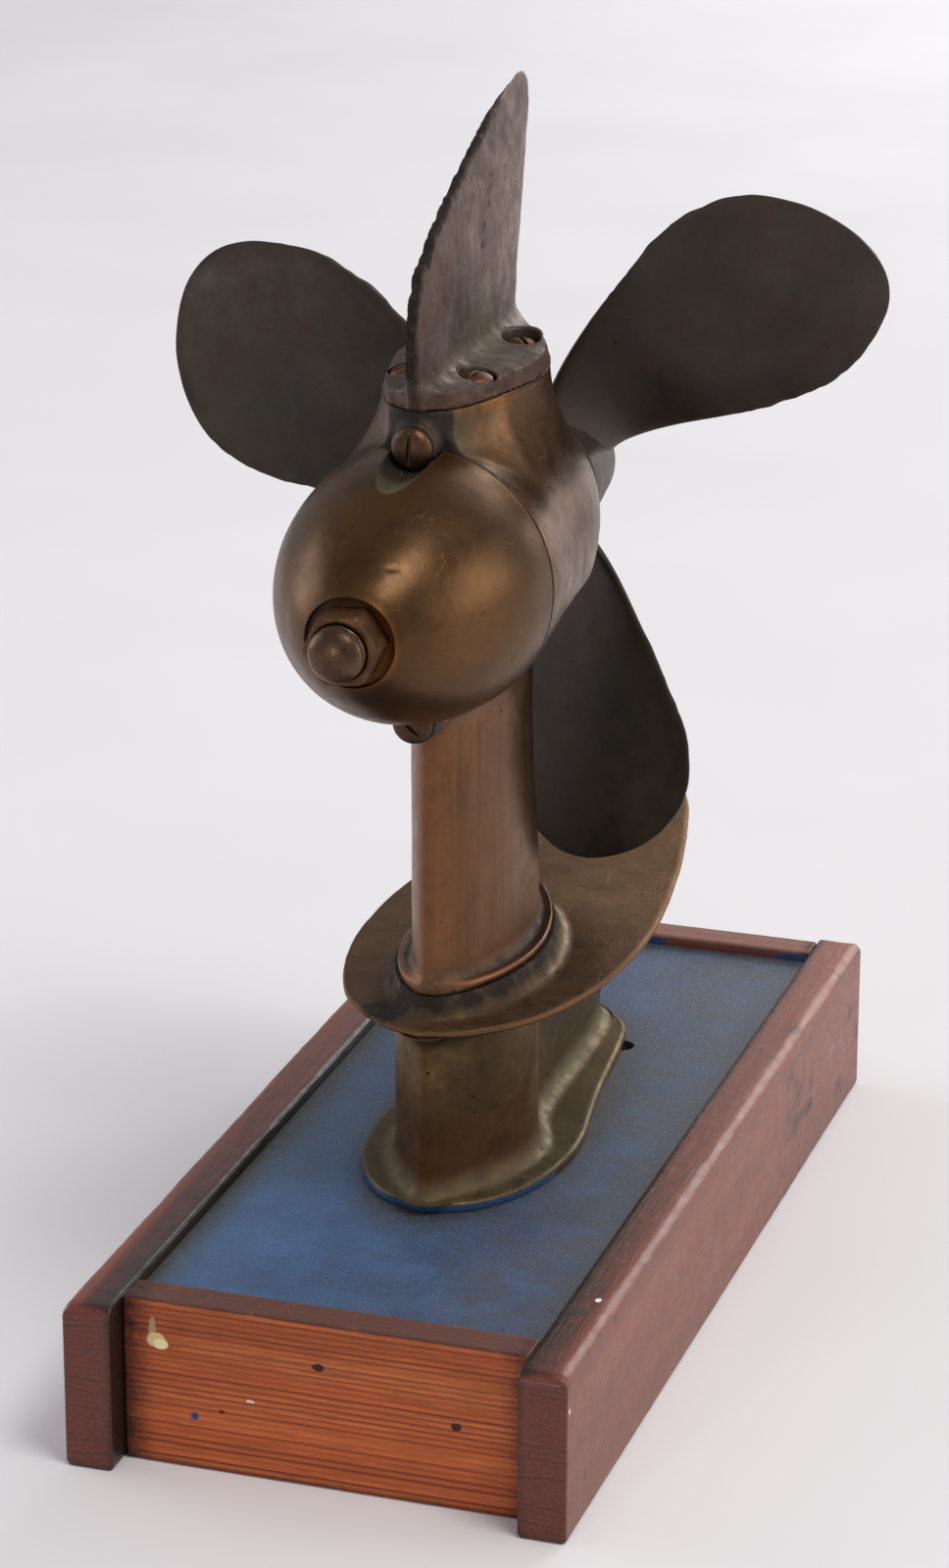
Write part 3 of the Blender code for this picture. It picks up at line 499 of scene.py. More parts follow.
# Softwood board: growth rings are cylinders about the pith, ring = fraction of (distance from the pith / width),
# and each ends in a thin dark line, some darker than others; fibres are noise drawn out along the grain, varnish
# lies over all of it, and marks (place, radii, colour) are small blots, splashes and chips on the face
def varnishedSoftwood(name, look):
    drawn = {"Scale": look["stretch"]}
    noises = {"bend": (45.0, 3.0, 0.55, 0.0, drawn), "fibre": (1.4, 4.0, 0.65, 0.0, drawn),
              "cloud": (30.0, 4.0, 0.60, 0.0, drawn), "blot": (9.0, 5.0, 0.70, 0.0, None),
              "speck": (1.1, 2.0, 0.60, 0.0, None), "ragged": (3.0, 4.0, 0.65, 0.0, None)}
    labels = ("worn", "grimeAndShade", "paint", "endGrain", "sawn")
    material, tree, noise, place, mask = newMaterial(name, noises, labels)

    # the place pushed aside by a noise's colour: place + reach x (colour - 0.5)
    def pushed(label, reach):
        away = addNode(tree, "VectorMath", {0: noise[label].node.outputs["Color"], 1: (0.5, 0.5, 0.5)},
                       operation="SUBTRACT")
        return addNode(tree, "VectorMath", {0: away, 1: (reach * mm,) * 3, 2: place}, operation="MULTIPLY_ADD")

    # length of what is left of (where - centre) after each axis is multiplied by its own share
    def distanceFrom(where, centre, shares):
        away = addNode(tree, "VectorMath", {0: where, 1: tuple(v * mm for v in centre)}, operation="SUBTRACT")
        away = addNode(tree, "VectorMath", {0: away, 1: shares}, operation="MULTIPLY")
        return addNode(tree, "VectorMath", {0: away}, "Value", operation="LENGTH")

    bent = pushed("bend", look["wander"])
    turns = sumOf(tree, [distanceFrom(bent, look["pith"], look["across"]), 1.0 / (look["ringMm"] * mm)])
    ring = addNode(tree, "Math", {0: turns}, operation="FRACT")
    number = addNode(tree, "Math", {0: turns}, operation="FLOOR")
    chance = addNode(tree, "TexWhiteNoise", {"W": number}, "Value", noise_dimensions="1D")
    late = sumOf(tree, [(ring, (0.0, 0.5), (0.12, 0.0), (0.50, 0.10), (0.88, 1.0), (1.0, 0.5)),
                        addNode(tree, "MapRange", {0: chance, 3: 0.30, 4: 1.0})])
    cloud = (noise["cloud"], (0.30, look["dark"]), (0.50, look["base"]), (0.70, look["light"]))
    tone = laid(tree, sumOf(tree, [cloud]), look["endGrain"], mask["endGrain"])
    tone = laid(tree, tone, look["lateWood"], late, look["ringDepth"])
    tone = laid(tree, tone, look["pore"], (noise["fibre"], (0.40, 1.0), (0.56, 0.0)), look["fibre"])

    # marks of the saw: ridges a few mm apart, slanting across the board near its end
    slant = addNode(tree, "Mapping", {"Vector": bent, "Rotation": look["sawTurn"]})
    teeth = sumOf(tree, [addNode(tree, "SeparateXYZ", {0: slant}, "Y"), 1.0 / (look["sawMm"] * mm)])
    teeth = addNode(tree, "Math", {0: teeth}, operation="FRACT")
    ridge = sumOf(tree, [(teeth, (0.0, 0.0), (0.70, 0.15), (0.85, 1.0), (1.0, 0.0)), mask["sawn"]])
    tone = laid(tree, tone, look["dark"], ridge, 0.5)

    for label, strength in (("worn", 2.4), ("grimeAndShade", 3.4), ("paint", 5.2)):
        tone = laid(tree, tone, look[label], mask[label], noise["blot"], strength)
    tone = laid(tree, tone, look["dust"], (noise["speck"], (0.74, 0.0), (0.78, 1.0)), 0.5)
    ragged = pushed("ragged", 2.2)
    for centre, radii, colour in look["marks"]:
        away = distanceFrom(ragged, centre, tuple(1.0 / (v * mm) for v in radii))
        tone = laid(tree, tone, colour, (away, (0.82, 1.0), (1.0, 0.0)))

    rough = addNode(tree, "MapRange", {0: noise["blot"], 1: 0.3, 2: 0.7, 3: look["rough"] - 0.10,
                                       4: look["rough"] + 0.14})
    relief = sumOf(tree, [late, look["ridge"]], [noise["fibre"]], [noise["blot"], 0.8], [ridge, -0.9])
    return finished(material, {"Base Color": tone, "Roughness": sumOf(tree, [rough], [mask["worn"], 0.15]),
                               "IOR": 1.5, "Specular IOR Level": look["sheen"], "Coat Weight": look["varnish"],
                               "Coat Roughness": 0.22, "Coat IOR": 1.5}, look["bump"], 0.6, relief)


pine = {"base": "7e3520", "light": "9a4c30", "dark": "582418", "lateWood": "3e1810", "pore": "38160e",
        "endGrain": "703020", "worn": "8f5644", "grimeAndShade": "26170f", "paint": "2a4a72", "dust": "b8a698",
        "stretch": (1.0, 0.06, 1.0), "across": (1.0, 0.0, 1.0), "pith": (175.0, 0.0, -60.0), "wander": 9.0,
        "ringMm": 3.2, "ringDepth": 0.95, "fibre": 0.5, "rough": 0.42, "ridge": 0.6, "bump": 0.50,
        "varnish": 0.20, "sheen": 0.4, "sawTurn": (-0.62, 0.0, 0.0), "sawMm": 3.1, "marks": []}


# Brushed blue enamel gone dull: brush strokes across the panel, pale dust specks, more of them towards the rear,
# and olive dirt where a cloth doesn't reach: along the rails, the end boards and the flange
def brushedBluePaint(name, look):
    noises = {"strokes": (3.0, 3.0, 0.65, 0.0, {"Scale": (0.05, 1.0, 1.0)}),
              "cloud": (40.0, 6.0, 0.65, 0.0, None), "greyed": (18.0, 5.0, 0.65, 0.0, None),
              "darkening": (7.0, 5.0, 0.7, 0.0, None), "speck": (1.3, 3.0, 0.7, 0.0, None)}
    material, tree, noise, place, _ = newMaterial(name, noises)
    cloud = (noise["cloud"], (0.30, look["dark"]), (0.50, look["base"]), (0.72, look["light"]))
    tone = laid(tree, sumOf(tree, [cloud]), look["dark"], (noise["strokes"], (0.50, 0.0), (0.66, 1.0)), 0.35)

    # each edge gives 1 at it and 0 some way off; the flange's own edge is an ellipse
    aside, along = (addNode(tree, "SeparateXYZ", {0: place}, axis) for axis in ("X", "Y"))
    width, length = look["flangeHalf"]
    ring = addNode(tree, "Mapping", {"Vector": place, "Location": (0.0, -look["flangeMiddle"] / length, 0.0),
                                     "Scale": (1.0 / width, 1.0 / length, 0.0)})
    ring = addNode(tree, "VectorMath", {0: ring}, "Value", operation="LENGTH")
    side = addNode(tree, "Math", {0: aside}, operation="ABSOLUTE")
    darkening = 0.0
    for value, zero, one in ((ring, 1.30, 1.0), (side, look["halfWidth"] - 0.024, look["halfWidth"]),
                             (along, look["front"] + 0.010, look["front"]),
                             (along, look["rear"] - 0.018, look["rear"])):
        near = addNode(tree, "MapRange", {0: value, 1: zero, 2: one})
        darkening = addNode(tree, "Math", {0: near, 1: darkening}, operation="MAXIMUM")
    darkening = addNode(tree, "Math", {0: darkening, 1: 1.5}, operation="POWER")
    tone = laid(tree, tone, look["darkening"], darkening, noise["darkening"], 2.0)
    right = addNode(tree, "MapRange", {0: aside, 1: -0.03, 2: 0.06})
    rear = addNode(tree, "MapRange", {0: along, 1: -0.10, 2: 0.26})
    tone = laid(tree, tone, look["worn"], right, (noise["greyed"], (0.34, 0.35), (0.58, 0.90)))
    tone = laid(tree, tone, look["worn"], rear, 0.25)
    dusty = sumOf(tree, [rear, 0.4], [0.42])
    tone = laid(tree, tone, look["dust"], (noise["speck"], (0.58, 0.0), (0.66, 1.0)), dusty)
    tone = laid(tree, tone, look["darkening"], (noise["speck"], (0.24, 1.0), (0.31, 0.0)), 0.6)
    rough = addNode(tree, "MapRange", {0: noise["cloud"], 1: 0.3, 2: 0.7, 3: 0.40, 4: 0.56})
    relief = sumOf(tree, [noise["speck"], 0.6], [noise["strokes"]])
    return finished(material, {"Base Color": tone, "Roughness": rough}, 0.30, 0.4, relief)


# Turned stainless steel: fine rings from the tool, 0.4 mm apart, over a dull grey metal
def turnedSteel(name, colour):
    material, tree, noise, place, _ = newMaterial(name, {"stain": (8.0, 5.0, 0.5, 0.0, None)})
    ringMm = 0.4
    rings = addNode(tree, "TexWave", {"Vector": place, "Scale": 1.0 / (20.0 * ringMm * mm), "Distortion": 1.5,
                                      "Detail": 2.0}, "Fac", bands_direction="Y")
    tone = sumOf(tree, [(noise["stain"], (0.35, "57504a"), (0.6, colour))])
    rough = addNode(tree, "MapRange", {0: noise["stain"], 3: 0.45, 4: 0.28})
    return finished(material, {"Base Color": tone, "Roughness": rough, "Metallic": 1.0}, 0.15, 0.2, rings)


# Moulded nitrile rubber: near black, with a bloom that greys it in patches
def mouldedRubber(name):
    material, _, noise, *_ = newMaterial(name, {"bloom": (5.0, 5.0, 0.5, 0.0, None)})
    tree = material.node_tree
    tone = sumOf(tree, [(noise["bloom"], (0.40, "141414"), (0.70, "2c2b2a"))])
    rough = addNode(tree, "MapRange", {0: noise["bloom"], 3: 0.45, 4: 0.75})
    return finished(material, {"Base Color": tone, "Roughness": rough}, 0.2, 0.2, noise["bloom"])


# half outlines from front to rear, (half width, y), the same forms that the castings have
outlines = {
    "flange": [(0, -127), (21, -119.5), (34.5, -107), (44.5, -90), (52, -68), (55.5, -40), (54.5, -15),
               (50.5, 10), (46, 39), (42, 74), (38.5, 107), (33, 134), (19, 150), (0, 155)],
    "neck": [(0, -123), (2.5, -122), (10, -113.5), (18.5, -102), (26, -89), (32.5, -72), (36.2, -54),
             (35.5, -38), (30.5, -24), (24.5, -8), (21.5, 15), (20.5, 60), (19.5, 105), (15.5, 136),
             (8, 147), (0, 150)],
    "plate": [(0, -132.5), (20, -126), (38.5, -111), (54, -90), (66, -58), (73, -25), (75.5, 10), (75, 45),
              (71, 85), (64, 130), (56, 171), (45.5, 215), (36, 246), (22.5, 274), (11, 285), (0, 288)],
    "leg": [(0, -112.5), (3.4, -112), (9, -106), (15, -95), (20.5, -80), (25, -62), (27.5, -40), (27, -20),
            (23.5, 0), (17.5, 18), (10.5, 34), (4.5, 43), (0, 45)],
    "foot": [(0, -114), (6, -112.5), (17, -102), (25, -88), (31, -72), (35, -52), (35.5, -30), (32.5, -8),
             (26.5, 14), (18, 34), (9, 48), (0, 52)],
    "boss": [(0, -130.5), (9, -129), (16.5, -124), (23, -112.5), (28, -99), (33.5, -80), (37.5, -60),
             (38, -42), (34.5, -23), (28.5, -8), (21, 6), (12.5, 17.5), (5.5, 24.5), (0, 26.5)]}


# right half of an outline pushed out by an offset along its normals, and the left half mirrored: a closed ring
def outlineRing(outline, offset=0.0, samples=70):
    fine = smoothCurve(outline, samples)
    around = np.vstack([fine[1] * (-1, 1), fine, fine[-2] * (-1, 1)])
    tangent = around[2:] - around[:-2]
    normal = np.column_stack([tangent[:, 1], -tangent[:, 0]])
    half = fine + normal / np.linalg.norm(normal, axis=1)[:, None] * offset
    half[[0, -1], 0] = 0.0
    half[1:-1, 0] = np.maximum(half[1:-1, 0], 0.2)
    return np.vstack([half, half[-2:0:-1] * (-1, 1)])


plinth = {"railOuter": 4.6, "railInner": 1.0, "railFoot": 2.2, "railEnds": (6.0, 2.0), "railWear": 0.55,
          "boardRounds": (0.8, 0.8, 1.5, 1.5), "boardEnds": (1.3, 1.3), "boardWear": 0.22, "endRound": 1.3}
railMarks = {
    "left": [((-117, -292.5, 64), (1.2, 3.0, 1.2), "1c3a5c"), ((-113, -120, 89), (1.3, 3.0, 2.0), "2a1813")],
    "right": [((119.3, -206, 89), (1.7, 2.6, 2.0), "ece6de"), ((130, -288, 70), (2.0, 1.6, 1.6), "e4d0bc"),
              ((130, -262, 24), (2.0, 1.6, 3.4), "1f1512"), ((130, -212, 83), (2.0, 1.6, 2.6), "241813"),
              ((130, 214, 66), (2.0, 1.8, 1.8), "33241e"), ((130, 176, 44), (2.0, 1.5, 2.2), "2c1d18"),
              ((130, 252, 60), (2.0, 3.2, 4.2), "6a5550"), ((130, 226, 48), (2.0, 9.0, 3.0), "7a635c")]}
boardMarks = [((-2.3, -275.5, 66.1), (3.4, 3.0, 2.4), "35150e"),
              ((68.7, -275.5, 45.2), (3.0, 3.0, 2.4), "35150e"),
              ((-53.0, -275.5, 33.7), (1.7, 2.0, 1.0), "30140e"),
              ((-67.4, -275.5, 28.9), (2.3, 2.0, 2.2), "27456a"),
              ((-37.9, -275.5, 41.6), (2.2, 2.0, 0.8), "e8ddcf"),
              ((-89.0, -275.5, 73.5), (2.0, 2.0, 7.0), "a98a62"),
              ((-86.8, -275.5, 67.6), (5.6, 2.0, 4.6), "d8bf84"),
              ((-84.8, -275.5, 65.8), (4.4, 2.0, 3.0), "efe3ae")]
boardLook = dict(pine, base="c4622f", light="d67a42", dark="a04a26", lateWood="4c1d10", pore="86401f",
                 worn="5c3a30", grimeAndShade="36160f", endGrain="6a3424", stretch=(0.05, 1.0, 1.0),
                 across=(0.0, 1.0, 1.0), pith=(0.0, 90.0, -420.0), wander=4.2, ringMm=2.6, ringDepth=1.0,
                 fibre=0.5, rough=0.52, ridge=0.9, bump=0.30, varnish=0.05, sheen=0.3, marks=boardMarks)
rearBoardLook = dict(boardLook, base="7c4a3a", light="8e5c4a", dark="64382c", lateWood="4a2820", pore="5a3226",
                     worn="8a6458", ringDepth=0.5, marks=[])
rawLook = dict(pine, base="a8835a", light="bb986c", dark="937049", lateWood="8a6038", pore="6e4c2c",
               worn="b8946a", endGrain="9a7448", stretch=(0.05, 1.0, 1.0), across=(0.0, 1.0, 1.0),
               pith=(0.0, 60.0, -90.0), ringMm=3.6, ringDepth=0.4, rough=0.7, varnish=0.0)
blueLook = {"base": "36587f", "light": "40648e", "dark": "2c466a", "darkening": "39352a", "dust": "8e99a3",
            "worn": "424450", "flangeHalf": (0.0555, 0.141), "flangeMiddle": 0.014}


# A board: a rectangle with its own radius at each corner, carried along its length. The corners are where the two
# axes after the board's own are (+, +), (-, +), (-, -) and (+, -). Its end faces draw in by
# r - sqrt(r² - (r - d)²), d the distance from the end, with a larger r for the top; noise wears the corners most
def boardShell(low, high, axis, corners, endRounds, wear, seed):
    low, high = np.array(low, float), np.array(high, float)
    one, two = (axis + 1) % 3, (axis + 2) % 3
    half = np.array([high[one] - low[one], high[two] - low[two]]) / 2.0
    signs = np.array([(1, 1), (-1, 1), (-1, -1), (1, -1)])
    centres = (half - np.array(corners)[:, None]) * signs
    loop, normal = [], []
    for number in range(4):
        turn = np.linspace(0.0, np.pi / 2.0, 9) + number * np.pi / 2.0
        direction = np.stack([np.cos(turn), np.sin(turn)], -1)
        corner = centres[number] + direction * corners[number]
        after = centres[(number + 1) % 4] + direction[-1] * corners[(number + 1) % 4]
        share = np.linspace(0.0, 1.0, max(3, int(np.linalg.norm(after - corner[-1]) / 2.0)) + 1)[1:-1, None]
        loop += [corner, corner[-1] + (after - corner[-1]) * share]
        normal += [direction, np.repeat(direction[-1:], len(share), axis=0)]
    loop, normal = np.vstack(loop), np.vstack(normal)

    def drawnIn(distance, radius):
        return radius - np.sqrt(np.maximum(radius ** 2 - np.maximum(radius - distance, 0.0) ** 2, 0.0))

    length = high[axis] - low[axis]
    near = 6.0 * (1.0 - np.cos(np.linspace(0.0, np.pi / 2.0, 16)))
    along = np.concatenate([near, np.linspace(6.0, length - 6.0, int(length / 2.6))[1:-1], length - near[::-1]])
    side = drawnIn(np.minimum(along, length - along), plinth["endRound"])
    topDrop = drawnIn(along, endRounds[0]) + drawnIn(length - along, endRounds[1]) - side
    rings = np.zeros((len(along), len(loop), 3))
    middle = (low + high) / 2.0
    for column, k in enumerate((one, two)):
        rings[..., k] = middle[k] + loop[:, column] * (1.0 - side[:, None] / half[column])
    upright = loop[:, 0 if one == 2 else 1] / (half[0] if one == 2 else half[1])
    rings[..., 2] -= topDrop[:, None] * np.clip(upright, 0.0, 1.0) ** 2
    rings[..., axis] = (low[axis] + along)[:, None]
    atCorner = 2.0 * np.abs(normal[:, 0] * normal[:, 1])
    atEnd = ramp(np.minimum(along, length - along), 7.0, 1.0)[:, None]
    amount = 0.10 + wear * np.maximum(atCorner, 0.6 * atEnd * (upright > 0.98))
    uneven = amount * (layered(rings, seed, (0.5, 24.0), (0.5, 6.0)) - 0.6)
    rings[..., one] += normal[:, 0] * uneven
    rings[..., two] += normal[:, 1] * uneven
    shares = np.array([0.85, 0.7, 0.5, 0.3, 0.1, 0.02])[:, None, None]
    front, back = (ring + (ring.mean(0) - ring) * shares for ring in (rings[0], rings[-1]))
    return shell(np.concatenate([front, rings, back[::-1]]))


# where a rail is end grain, sawn, worn and dirty, with painted shade along the top of its inner face
def railMasks(p, low, high, outwards):
    x, y, z = p.T
    fromFront, fromRear = y - low[1], high[1] - y
    ends = ramp(np.minimum(fromFront, fromRear), 3.0, 0.8)
    top = ramp(z, high[2] - 4.0, high[2] - 1.0)
    across = outwards * (x - (low[0] + high[0]) / 2.0)
    outside, inner = ramp(across, 0.0, 8.0), ramp(-across, 5.0, 12.0)
    blots = ramp(layered(p, 87, (1.0, 19.0), (0.7, 7.0), (0.5, 3.0)), 0.25, 0.8)
    stains = blots * outside * ramp(y, 60.0, 200.0)
    # painted shade: the terms with inner darken the inner edge of the top and the top of the inner face, to dull
    # the varnish's reflection there
    darkening = (0.50 * stains + 0.30 * inner * top + 0.42 * top * ramp(y, 0.0, -240.0) * (1.0 - outside)
            + 0.8 * inner * ramp(z, high[2] + 1.0, high[2] - 3.0))
    return {"endGrain": ends, "sawn": outside * ramp(fromFront, 95.0, 30.0) * (1.0 - ends) * (1.0 - top),
            "worn": (1.0 - ends) * (0.30 * outside + 0.35 * top * ramp(y, -60.0, 200.0)),
            "grimeAndShade": (1.0 - ends) * darkening + 0.30 * ramp(z, 5.0, 1.0) + 0.35 * ends * ramp(-across, 8.0, 12.0)}


# where the front board is worn and dirty: its top edge, darker at its foot, and its ends beside the rails, where
# grime and painted shade lie in the corners
def frontBoardMasks(p, low, high):
    x, y, z = p.T
    top = ramp(z, high[2] - 0.7, high[2] - 0.2)
    # painted shade with grime: the ends beside the rails, in the corners the rails make with the board, are
    # darker
    margin = 0.45 * ramp(x, -86.0, -104.0) + 0.30 * ramp(x, 90.0, 104.0)
    upper = 0.10 * ramp(z, 48.0, 74.0) * (1.0 - top)
    return {"worn": top,
            "grimeAndShade": 0.35 * ramp(z, 6.0, 0.0) + margin + upper + 0.3 * top * ramp(y, low[1] + 4.0, low[1])}


# where the rear board is worn, dirty and has the panel's paint on its inner face
def rearBoardMasks(p, low, high):
    x, y, z = p.T
    inner = ramp(y, low[1] + 1.2, low[1] + 0.4)
    return {"worn": 0.6 * ramp(z, high[2] - 2.0, high[2] - 0.5),
            "paint": 0.55 * inner * ramp(lumps(p, 12.0, 95), 0.0, 0.4) * ramp(z, high[2] - 0.5, high[2] - 4.0),
            "grimeAndShade": 0.4 * ramp(np.abs(x), 96.0, 104.0)}


# The plinth: two rails and two end boards of varnished softwood round the blue panel. The panel, its bearers and
# the flange's bolts stay CAD nodes
def makePlinth():
    for side, outwards, seed in (("left", -1.0, 81), ("right", 1.0, 84)):
        low, high = nodeBox("plinth_rail_" + side)
        corners = [plinth["railInner"], plinth["railFoot"], plinth["railFoot"], plinth["railInner"]]
        corners[0 if side == "right" else 3] = plinth["railOuter"]
        rail = boardShell(low, high, 1, corners, plinth["railEnds"], plinth["railWear"], seed)
        look = dict(pine, pith=(outwards * 100.0, 0.0, -330.0), marks=railMarks[side])
        addPiece("rail_" + side, [rail], varnishedSoftwood("varnished_pine_" + side, look), standBody,
                 "plinth_rail_" + side, lambda p: railMasks(p, low, high, outwards))
    for end, wood, look, seed, masks in (("front", "pitch_pine", boardLook, 91, frontBoardMasks),
                                         ("rear", "varnished_pine", rearBoardLook, 94, rearBoardMasks)):
        low, high = nodeBox("plinth_end_board_" + end)
        board = boardShell(low, high, 0, plinth["boardRounds"], plinth["boardEnds"], plinth["boardWear"], seed)
        addPiece("end_board_" + end, [board], varnishedSoftwood(wood + "_" + end, look), standBody,
                 "plinth_end_board_" + end, lambda p: masks(p, low, high))

    panelLow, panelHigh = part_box("plinth_top_panel")
    look = dict(blueLook, halfWidth=panelHigh[0], front=panelLow[1], rear=panelHigh[1])
    dress("plinth_top_panel", brushedBluePaint("brushed_blue_enamel", look))
    raw = varnishedSoftwood("sawn_pine", rawLook)
    for place in ("front", "middle", "rear"):
        dress("plinth_bearer_" + place, raw)
    steel = turnedSteel("plated_bolt", "8a8883")
    for place in ("front_left", "front_right", "rear_left", "rear_right"):
        dress("flange_bolt_" + place, steel)


# plateEdge is (height over the plate's lower face, offset), padSlope (share of the pad's height, offset), and a
# fillet (width, height); the web's rear edge leans back by lean mm for each mm of height over leanFromZ
lowers = {"flangeTop": 89.0, "plateThick": 5.0, "plateTop": 187.0, "samples": 120, "lean": 0.95,
          "leanFromZ": 92.0, "webFromY": 15.0, "webLength": 135.0, "footFillet": (9.5, 13.0),
          "topFillet": (9.0, 11.0),
          "plateEdge": [(0.0, -3.0), (0.5, -1.0), (1.4, -0.1), (2.6, 0.1), (3.8, -0.4), (4.7, -1.2),
                        (5.0, -3.0)],
          "padSlope": [(0.03, 11.0), (0.10, 8.0), (0.24, 6.0), (0.42, 4.7), (0.62, 3.6), (0.80, 2.7),
                       (0.93, 2.0), (1.0, 1.2), (1.0, 0.2)],
          "gouge": (-24.0, -112.0, 187.0), "gougeDepth": 0.9,
          "paint": {"colour": "26456b", "rough": 0.16, "chipMm": 5.0}}


# half section of the neck, whose rear edge leans back under the plate as it rises
def neckOutline(height):
    lean = lowers["lean"] * max(0.0, height - lowers["leanFromZ"])
    return [(x, y + lean * max(0.0, y - lowers["webFromY"]) / lowers["webLength"]) for x, y in outlines["neck"]]


# The base flange, neck and plate in one casting: outlines carried up the height, with quarter ellipses as
# fillets, offset = width (1 - sin t) and rise = height (1 - cos t)
def makeLowerCasting():
    low, high = nodeBox("flange_neck_and_plate")
    bottom, padTop = low[2], high[2]
    flangeTop, plateTop = lowers["flangeTop"], lowers["plateTop"]
    under = plateTop - lowers["plateThick"]
    flange, plate, foot = outlines["flange"], outlines["plate"], outlines["foot"]
    keys = [(flange, bottom, -0.8), (flange, bottom + 0.8, 0.0), (flange, flangeTop - 2.2, 0.0),
            (flange, flangeTop - 1.2, -0.3), (flange, flangeTop - 0.4, -1.0), (flange, flangeTop, -2.4)]
    quarter = np.linspace(0.0, np.pi / 2.0, 11)
    out, up = lowers["footFillet"]
    keys += [(None, flangeTop + 0.3 + up * (1.0 - math.cos(t)), out * (1.0 - math.sin(t))) for t in quarter]
    keys += [(None, height, 0.0) for height in (115.0, 130.0, 145.0, 160.0)]
    out, up = lowers["topFillet"]
    keys += [(None, under - 0.3 - up * (1.0 - math.cos(t)), out * (1.0 - math.sin(t))) for t in quarter[::-1]]
    keys += [(plate, under + height, offset) for height, offset in lowers["plateEdge"]]
    keys += [(foot, plateTop + (padTop - plateTop) * share, offset) for share, offset in lowers["padSlope"]]
    rings = []
    for outline, height, offset in keys:
        flat = outlineRing(outline or neckOutline(height), offset, lowers["samples"])
        rings.append(np.column_stack([flat, np.full(len(flat), height)]))
    rings = finerRings(np.array(rings), 2.2)
    normal = gridNormals(rings)
    z = rings[..., 2]
    uneven = layered(rings, 51, (0.25, 34.0), (0.12, 11.0), (0.05, 4.0)) - 0.25
    uneven -= 0.35 * bell(z, under + 2.0, 3.0) * (0.5 + 0.5 * lumps(rings, 6.0, 54))
    knocked = spot(rings, lowers["gouge"], 13.0) * (0.5 + 0.5 * lumps(rings, 3.0, 55))
    uneven -= lowers["gougeDepth"] * knocked
    uneven = np.where((z < bottom + 0.5) | (z > padTop - 0.4), 0.0, uneven)
    rings = rings + normal * uneven[..., None]

    def masks(p):
        x, y, z = p.T
        onNeck = ramp(z, flangeTop, flangeTop + 6.0) * ramp(z, under, under - 6.0)
        ridge = onNeck * bell(x, 0.0, 5.0) * ramp(y, -116.0, -121.0)
        bulge = onNeck * bell(y, -20.0, 7.0) * ramp(np.abs(x), 18.0, 26.0)
        onFlange = ramp(z, flangeTop + 2.0, flangeTop - 1.0)
        rightFront = ramp(x, -20.0, 5.0) * ramp(y, -40.0, -85.0)
        pad = ramp(z, plateTop + 1.0, padTop - 2.0) * (z > under)
        return {"rubbed": 0.8 * bell(z, under + 2.6, 2.4) + 0.5 * pad + 0.25 * ridge * ramp(z, 120.0, 150.0),
                "rust": 0.25 * onNeck * ramp(z, 150.0, 110.0) * ramp(y, -20.0, -60.0)
                + 0.4 * ridge * ramp(z, 130.0, 100.0),
                "verdigris": 0.14 * onNeck * ramp(y, 0.0, 20.0) + 0.32 * bell(z, flangeTop + 4.0, 5.0)
                + 0.45 * bulge + 0.08 * onFlange,
                # painted shade: the front part of the pad round the foot is darkened to dull its reflection; the
                # neck is darker just under the plate
                "grimeAndShade": 0.35 * onNeck * ramp(z, 135.0, 96.0) * ramp(y, -10.0, -40.0)
                + 0.8 * pad * ramp(y, 150.0, 20.0) + 0.35 * ramp(z, 184.0, 186.5) * ramp(y, 60.0, -90.0)
                + 0.9 * spot(p, lowers["gouge"], 14.0) + 0.25 * onNeck * ramp(z, 170.0, 181.0),
                "paint": onFlange * ramp(z, flangeTop - 1.6, flangeTop - 2.6)
                * np.maximum(ramp(y, -70.0, -105.0), rightFront)}

    material = paintedGunmetal("gunmetal_base", lowerLook, lowers["paint"])
    addPiece("flange_neck_and_plate_cast", [shell(rings)], material, standBody,
             "flange_neck_and_plate", masks, 40)


bosses = {"jointZ": nodeBox("skeg_cover")[0][2] - 0.3, "fillet": 36.0, "frontFillet": 9.0, "overhang": 5.6}
gearcase = {"profile": [(-124.85, 68.5), (-110, 68.0), (-95, 66.2), (-80, 64.0), (-62, 62.2), (-45, 61.2),
                        (-30, 60.0), (-15, 57.7), (0, 54.2), (15, 49.7), (30, 44.6), (40, 40.8), (47, 37.8)],
            "seamY": -124.85, "endY": 47.0, "sealRadius": 24.3, "sealDepth": 6.0, "screwOffset": 70.5,
            "lugRadius": 11.5, "lugFrontY": -135.7, "lugRearY": -95.0, "cell": 1.5}
legs = {"footZ": nodeBox("flange_neck_and_plate")[1][2] + 0.3, "rimHeight": 4.2, "moat": 1.7, "sweep": 9.0,
        "fillet": 26.0, "aftTaper": 0.22}


